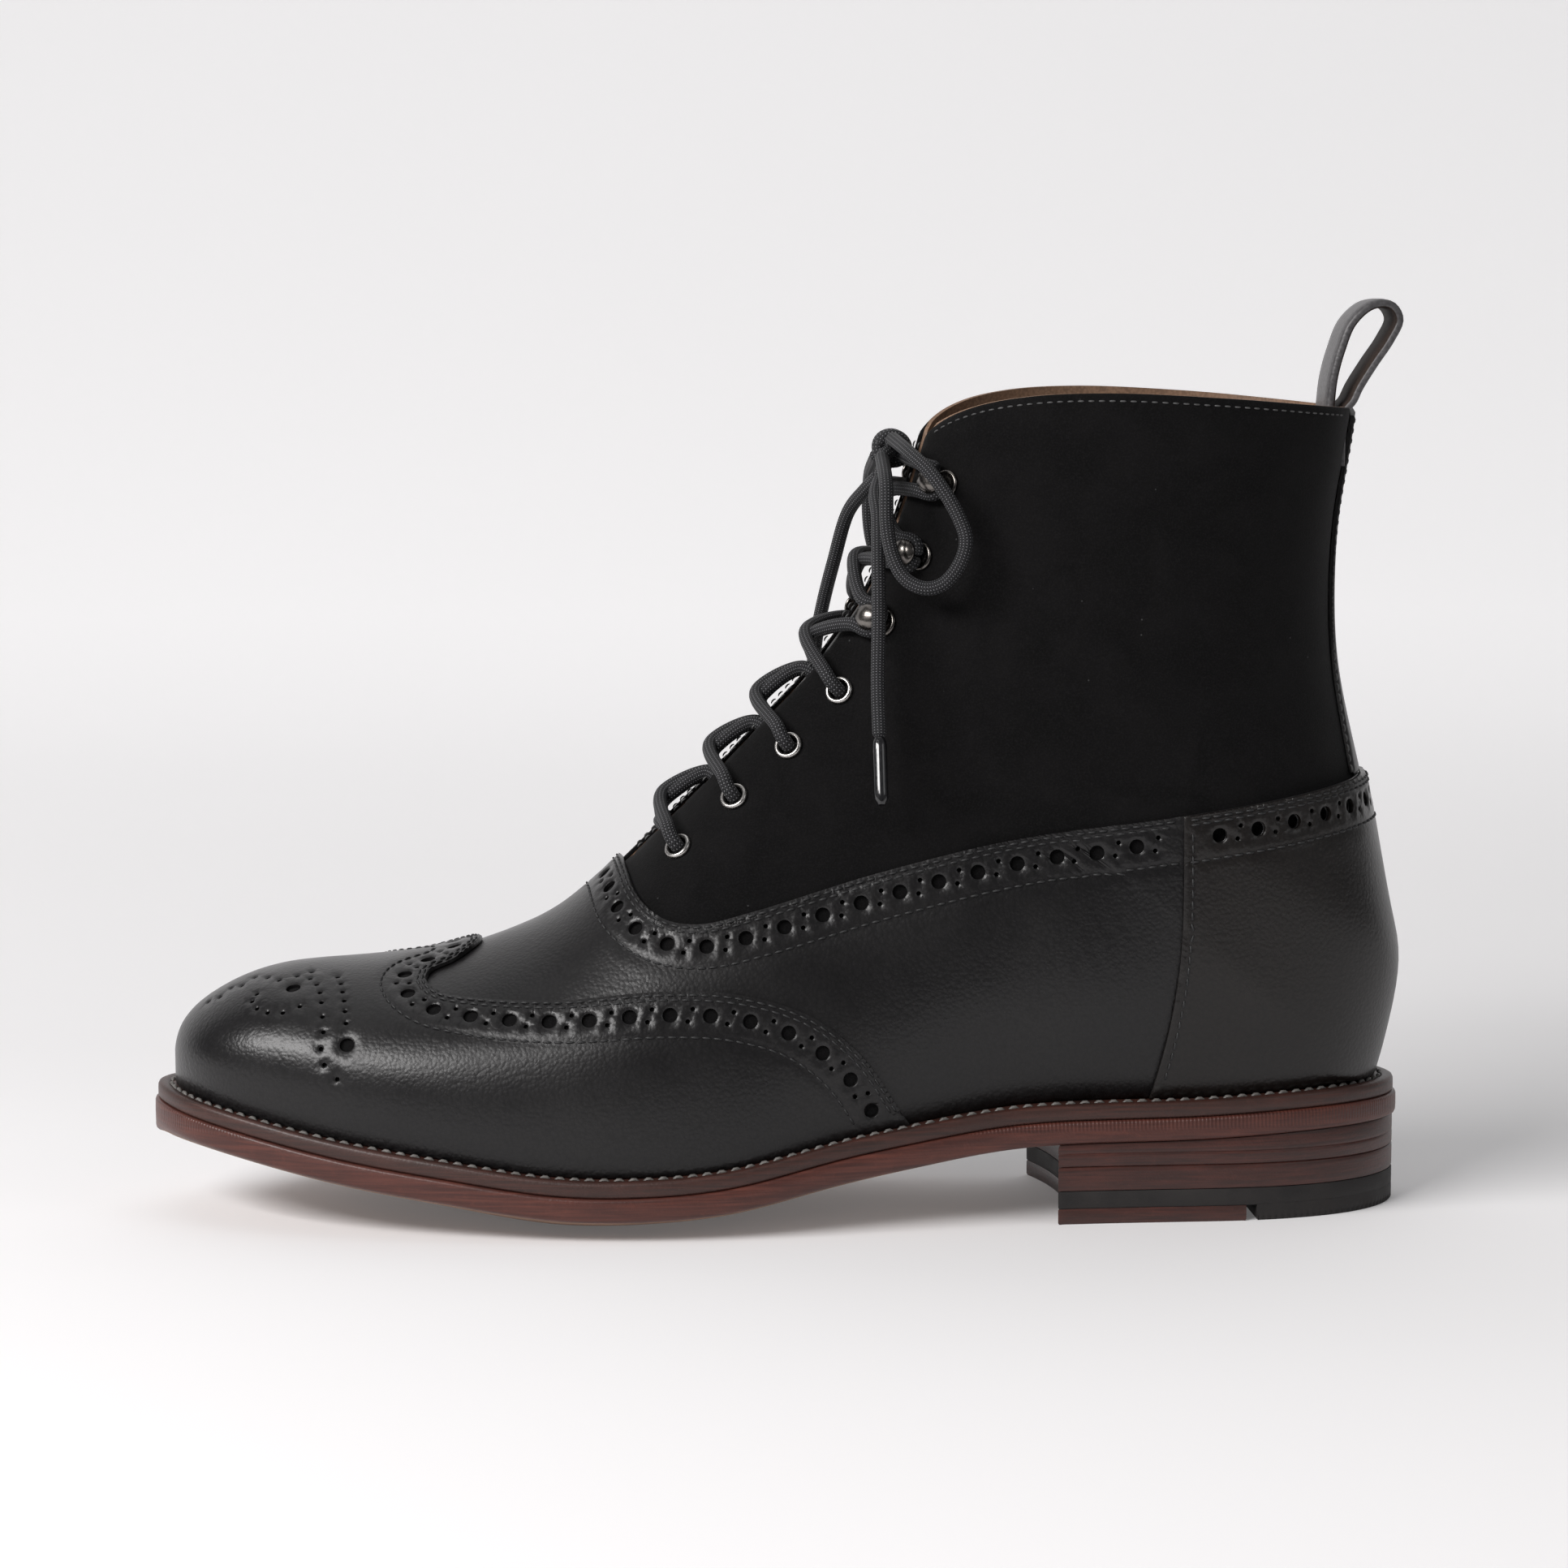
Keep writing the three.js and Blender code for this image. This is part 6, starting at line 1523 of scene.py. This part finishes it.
WELT_TOP = GAP + WELT
rings = [sole_ring(10.4, 0, over_sole(0.02)), sole_ring(1.3, 0, over_sole(0.02)),
         sole_ring(0.95, 0, over_sole(0.15)), sole_ring(0.72, 0, over_sole(0.6)),
         sole_ring(0.7, 0, over_sole(2.0)), sole_ring(0.75, 0, over_sole(WELT_TOP - 0.9)),
         sole_ring(1.0, 0, over_sole(WELT_TOP - 0.35)), sole_ring(1.5, 0, over_sole(WELT_TOP - 0.08)),
         sole_ring(2.6, 0, over_sole(WELT_TOP)), sole_ring(3.3, 0, over_sole(WELT_TOP - 0.12)),
         sole_ring(3.9, 0, over_sole(WELT_TOP - 0.45)), sole_ring(4.5, 0, over_sole(WELT_TOP - 0.12)),
         sole_ring(5.2, 0, over_sole(WELT_TOP - 0.05)), sole_ring(10.4, 0, over_sole(WELT_TOP - 0.05))]
build("welt_strip", [rings_mesh(rings, close=True)], [welt_brown], ["welt"], 55)

inset = WELT_STEP + WELT_WIDTH + 4 * GAP
rings = [sole_ring(inset, c, over_sole(GAP)) for c in (1.0, 0.5, 0.0)]


def insole_top(x, y):
    return outsole_top(x) + GAP + INSOLE - DISH * dish(x, y)


rings += [sole_ring(inset, 0, lambda x, y: insole_top(x, y) - 0.5), sole_ring(inset + 0.5, 0, insole_top)]
rings += [sole_ring(inset + 0.5, c, insole_top) for c in (0.3, 0.6, 0.85, 1.0)]
build("insole_board", [rings_mesh(rings)], [insole_leather], ["insole"], 55)

path = np.vstack([rim(np.linspace(0, HEEL_END, 500), -1, 3.95), rim(np.linspace(HEEL_END, 0, 500), 1, 3.95)])
path = even_line(np.c_[path, welt_top(path[:, 0]) - 0.28], 3.5)
t = np.roll(path, -1, 0) - np.roll(path, 1, 0)
t /= np.linalg.norm(t, axis=1, keepdims=True)
side_way = np.cross(t, [0, 0, 1.0])
build("welt_stitches", [stitches(path[1:-1], t[1:-1], np.cross(side_way, t)[1:-1], 2.9, 1.0)],
      [pale_thread], [], 60)

# Heel
breast_row = float(row_at(along(BREAST)))


def heel_plan(end_x=None, start_x=None, step=1.2):
    """Plan of the heel, or of the part of it in front of or behind a line across."""
    first = breast_row if start_x is None else float(row_at(start_x))
    end = HEEL_END if end_x is None else float(row_at(end_x))
    rows = np.linspace(first, end, 300)
    outer, inner = even_line(rim(rows, -1, HEEL_INSET), step), even_line(rim(rows, 1, HEEL_INSET), step)
    across = np.linspace(1, -1, 31)[1:-1]
    bow = HOLLOW * (1 - across**2) if start_x is None else 0 * across
    a, b = outer[0], inner[0]
    share = (across + 1) / 2
    front = np.stack([a[0] + (b[0] - a[0]) * share + bow, a[1] + (b[1] - a[1]) * share], -1)
    rear = inner[::-1] if end_x is not None else inner[-2::-1]
    return np.vstack([outer, rear, front])


def inwards(plan, distance):
    d = np.roll(plan, -1, 0) - np.roll(plan, 1, 0)
    n = np.stack([-d[:, 1], d[:, 0]], -1)
    n = n / np.linalg.norm(n, axis=1, keepdims=True)
    return plan + (np.asarray(distance)[..., None] if np.ndim(distance) else distance) * n


def slab(plan, levels):
    """A solid from rings of the plan, each moved inwards and set at a height."""
    rings = []
    for inset, z in levels:
        ring = inwards(plan, inset)
        rings.append(np.c_[ring, z(ring[:, 0], ring[:, 1]) if callable(z) else np.full(len(ring), float(z))])
    verts, faces, uvs, kinds = rings_mesh(rings)
    n = len(plan)
    for cap in (range(n), range((len(rings) - 1) * n, len(rings) * n)):
        faces.append(tuple(cap))
        uvs.append([(0.0, 0.0)] * n)
        kinds.append(0)
    return verts, faces, uvs, kinds


whole = heel_plan()
lift_top = TOP_PIECE + GAP + LIFT
build("heel_lift_upper_leather", [slab(whole, [
    (0.3, lift_top + 0.1), (0.03, lift_top + 0.4), (0.0, 16.4), (0.03, 16.9), (0.2, 17.1), (0.03, 17.3),
    (0.0, 17.8),
    (0.0, lambda x, y: underside(x, y) - 0.8), (0.25, lambda x, y: underside(x, y) - 0.12)])],
    [stack_brown], ["heel_lift_upper"], 55)
build("heel_lift_lower_leather", [slab(whole, [
    (0.25, TOP_PIECE + 0.1), (0.03, TOP_PIECE + 0.5), (0, 10.2), (0, 12.6),
    (0.03, lift_top - 0.25), (0.25, lift_top + 0.05)])],
    [stack_brown], ["heel_lift_lower"], 55)
strip_end = float(along(BREAST)) + STRIP_LENGTH
rear_plan = heel_plan(start_x=strip_end + 2.6, step=0.42)
notched = 0.02 + 0.3 * (np.arange(len(rear_plan)) % 4 < 2)
build("rubber_top_piece", [
    slab(whole, [(0.2, STRIP + 0.12), (0.02, STRIP + 0.4), (0, 5.5), (0, TOP_PIECE - 0.4),
                 (0.2, TOP_PIECE - 0.05)]),
    slab(rear_plan, [(0.3, 0.0), (notched, 0.35), (notched, 0.8), (0.02, 1.3), (0, 2.5),
                     (0.05, STRIP + 0.3)])],
    [rubber], ["heel_top_piece"], 55)
build("top_piece_front_strip", [slab(heel_plan(end_x=strip_end), [
    (0.3, 0.0), (0.02, 0.4), (0, 1.8), (0.02, STRIP - 0.2), (0.15, STRIP + 0.05)])], [stack_brown],
    ["heel_top_strip"], 55)

# Studio: a pale sweep, its part in front of the boot painted near black as painted shade for the boot to
# reflect, soft lights
sweep = [(-3.5, 0.0), (1.2, 0.0)]
sweep += [(1.2 + 1.4 * math.sin(a), 1.4 - 1.4 * math.cos(a)) for a in np.linspace(0.08, math.pi / 2, 18)]
sweep.append((2.6, 4.0))
mesh = bpy.data.meshes.new("studio_sweep")
points = [(x, y, z) for y, z in sweep for x in (-4.0, 4.0)]
mesh.from_pydata(points, [], [(2 * i, 2 * i + 1, 2 * i + 3, 2 * i + 2) for i in range(len(sweep) - 1)])
mesh.polygons.foreach_set("use_smooth", np.ones(len(mesh.polygons), bool))
paper, put, shader, link = finish("pale_paper_with_painted_dark_front", 0.9)
m = grouped(put, mottle, Size=900.0)
far = put("ShaderNodeSeparateXYZ", {0: put("ShaderNodeTexCoord").outputs["Object"]}).outputs["Y"]
# The sweep in front of the boot is painted near black and does not glow: a painted dark room, so the boot's
# near side reflects painted shade, not the pale floor.
behind_painted_dark_front = ranged(put, far, 0, 1, -0.52, -0.42)
pale = blend(put, m.outputs["Shade"], (0.8, 0.79, 0.795), (0.82, 0.81, 0.815))
link(blend(put, behind_painted_dark_front, (0.02, 0.02, 0.02), pale), shader.inputs["Base Color"])
shader.inputs["Emission Color"].default_value = (1, 0.99, 0.995, 1)
glow = put("ShaderNodeMath", {0: ranged(put, far, 0.1, 0.4, 0.25, 1.5), 1: behind_painted_dark_front}, operation="MULTIPLY")
link(glow.outputs[0], shader.inputs["Emission Strength"])
mesh.materials.append(paper)
studio = bpy.data.objects.new("studio_sweep", mesh)
bpy.context.collection.objects.link(studio)


def soft_light(name, place, aim, size, power, tint=(1, 1, 1), tall=None):
    data = bpy.data.lights.new(name, "AREA")
    data.shape = "RECTANGLE"
    data.size, data.size_y = size, tall or size
    data.energy = power
    data.color = tint
    obj = bpy.data.objects.new(name, data)
    bpy.context.collection.objects.link(obj)
    obj.location = place
    obj.rotation_mode = "QUATERNION"
    obj.rotation_quaternion = (Vector(aim) - Vector(place)).to_track_quat("-Z", "Y")


soft_light("key_light", (-1.12, -0.94, 1.02), (-0.05, 0, 0.05), 1.35, 34, (1, 0.985, 0.98), 0.45)
soft_light("top_light", (0.0, 0.5, 2.1), (0, 0.1, 0.0), 1.9, 7)
soft_light("fill_light", (1.3, -1.0, 0.9), (0.05, 0, 0.08), 0.7, 2, (0.98, 0.99, 1))
world = bpy.data.worlds.new("pale_room")
world.use_nodes = True
world.node_tree.nodes["Background"].inputs["Color"].default_value = (0.93, 0.93, 0.94, 1)
world.node_tree.nodes["Background"].inputs["Strength"].default_value = 0.16
bpy.context.scene.world = world
bpy.context.scene.view_settings.view_transform = "Standard"
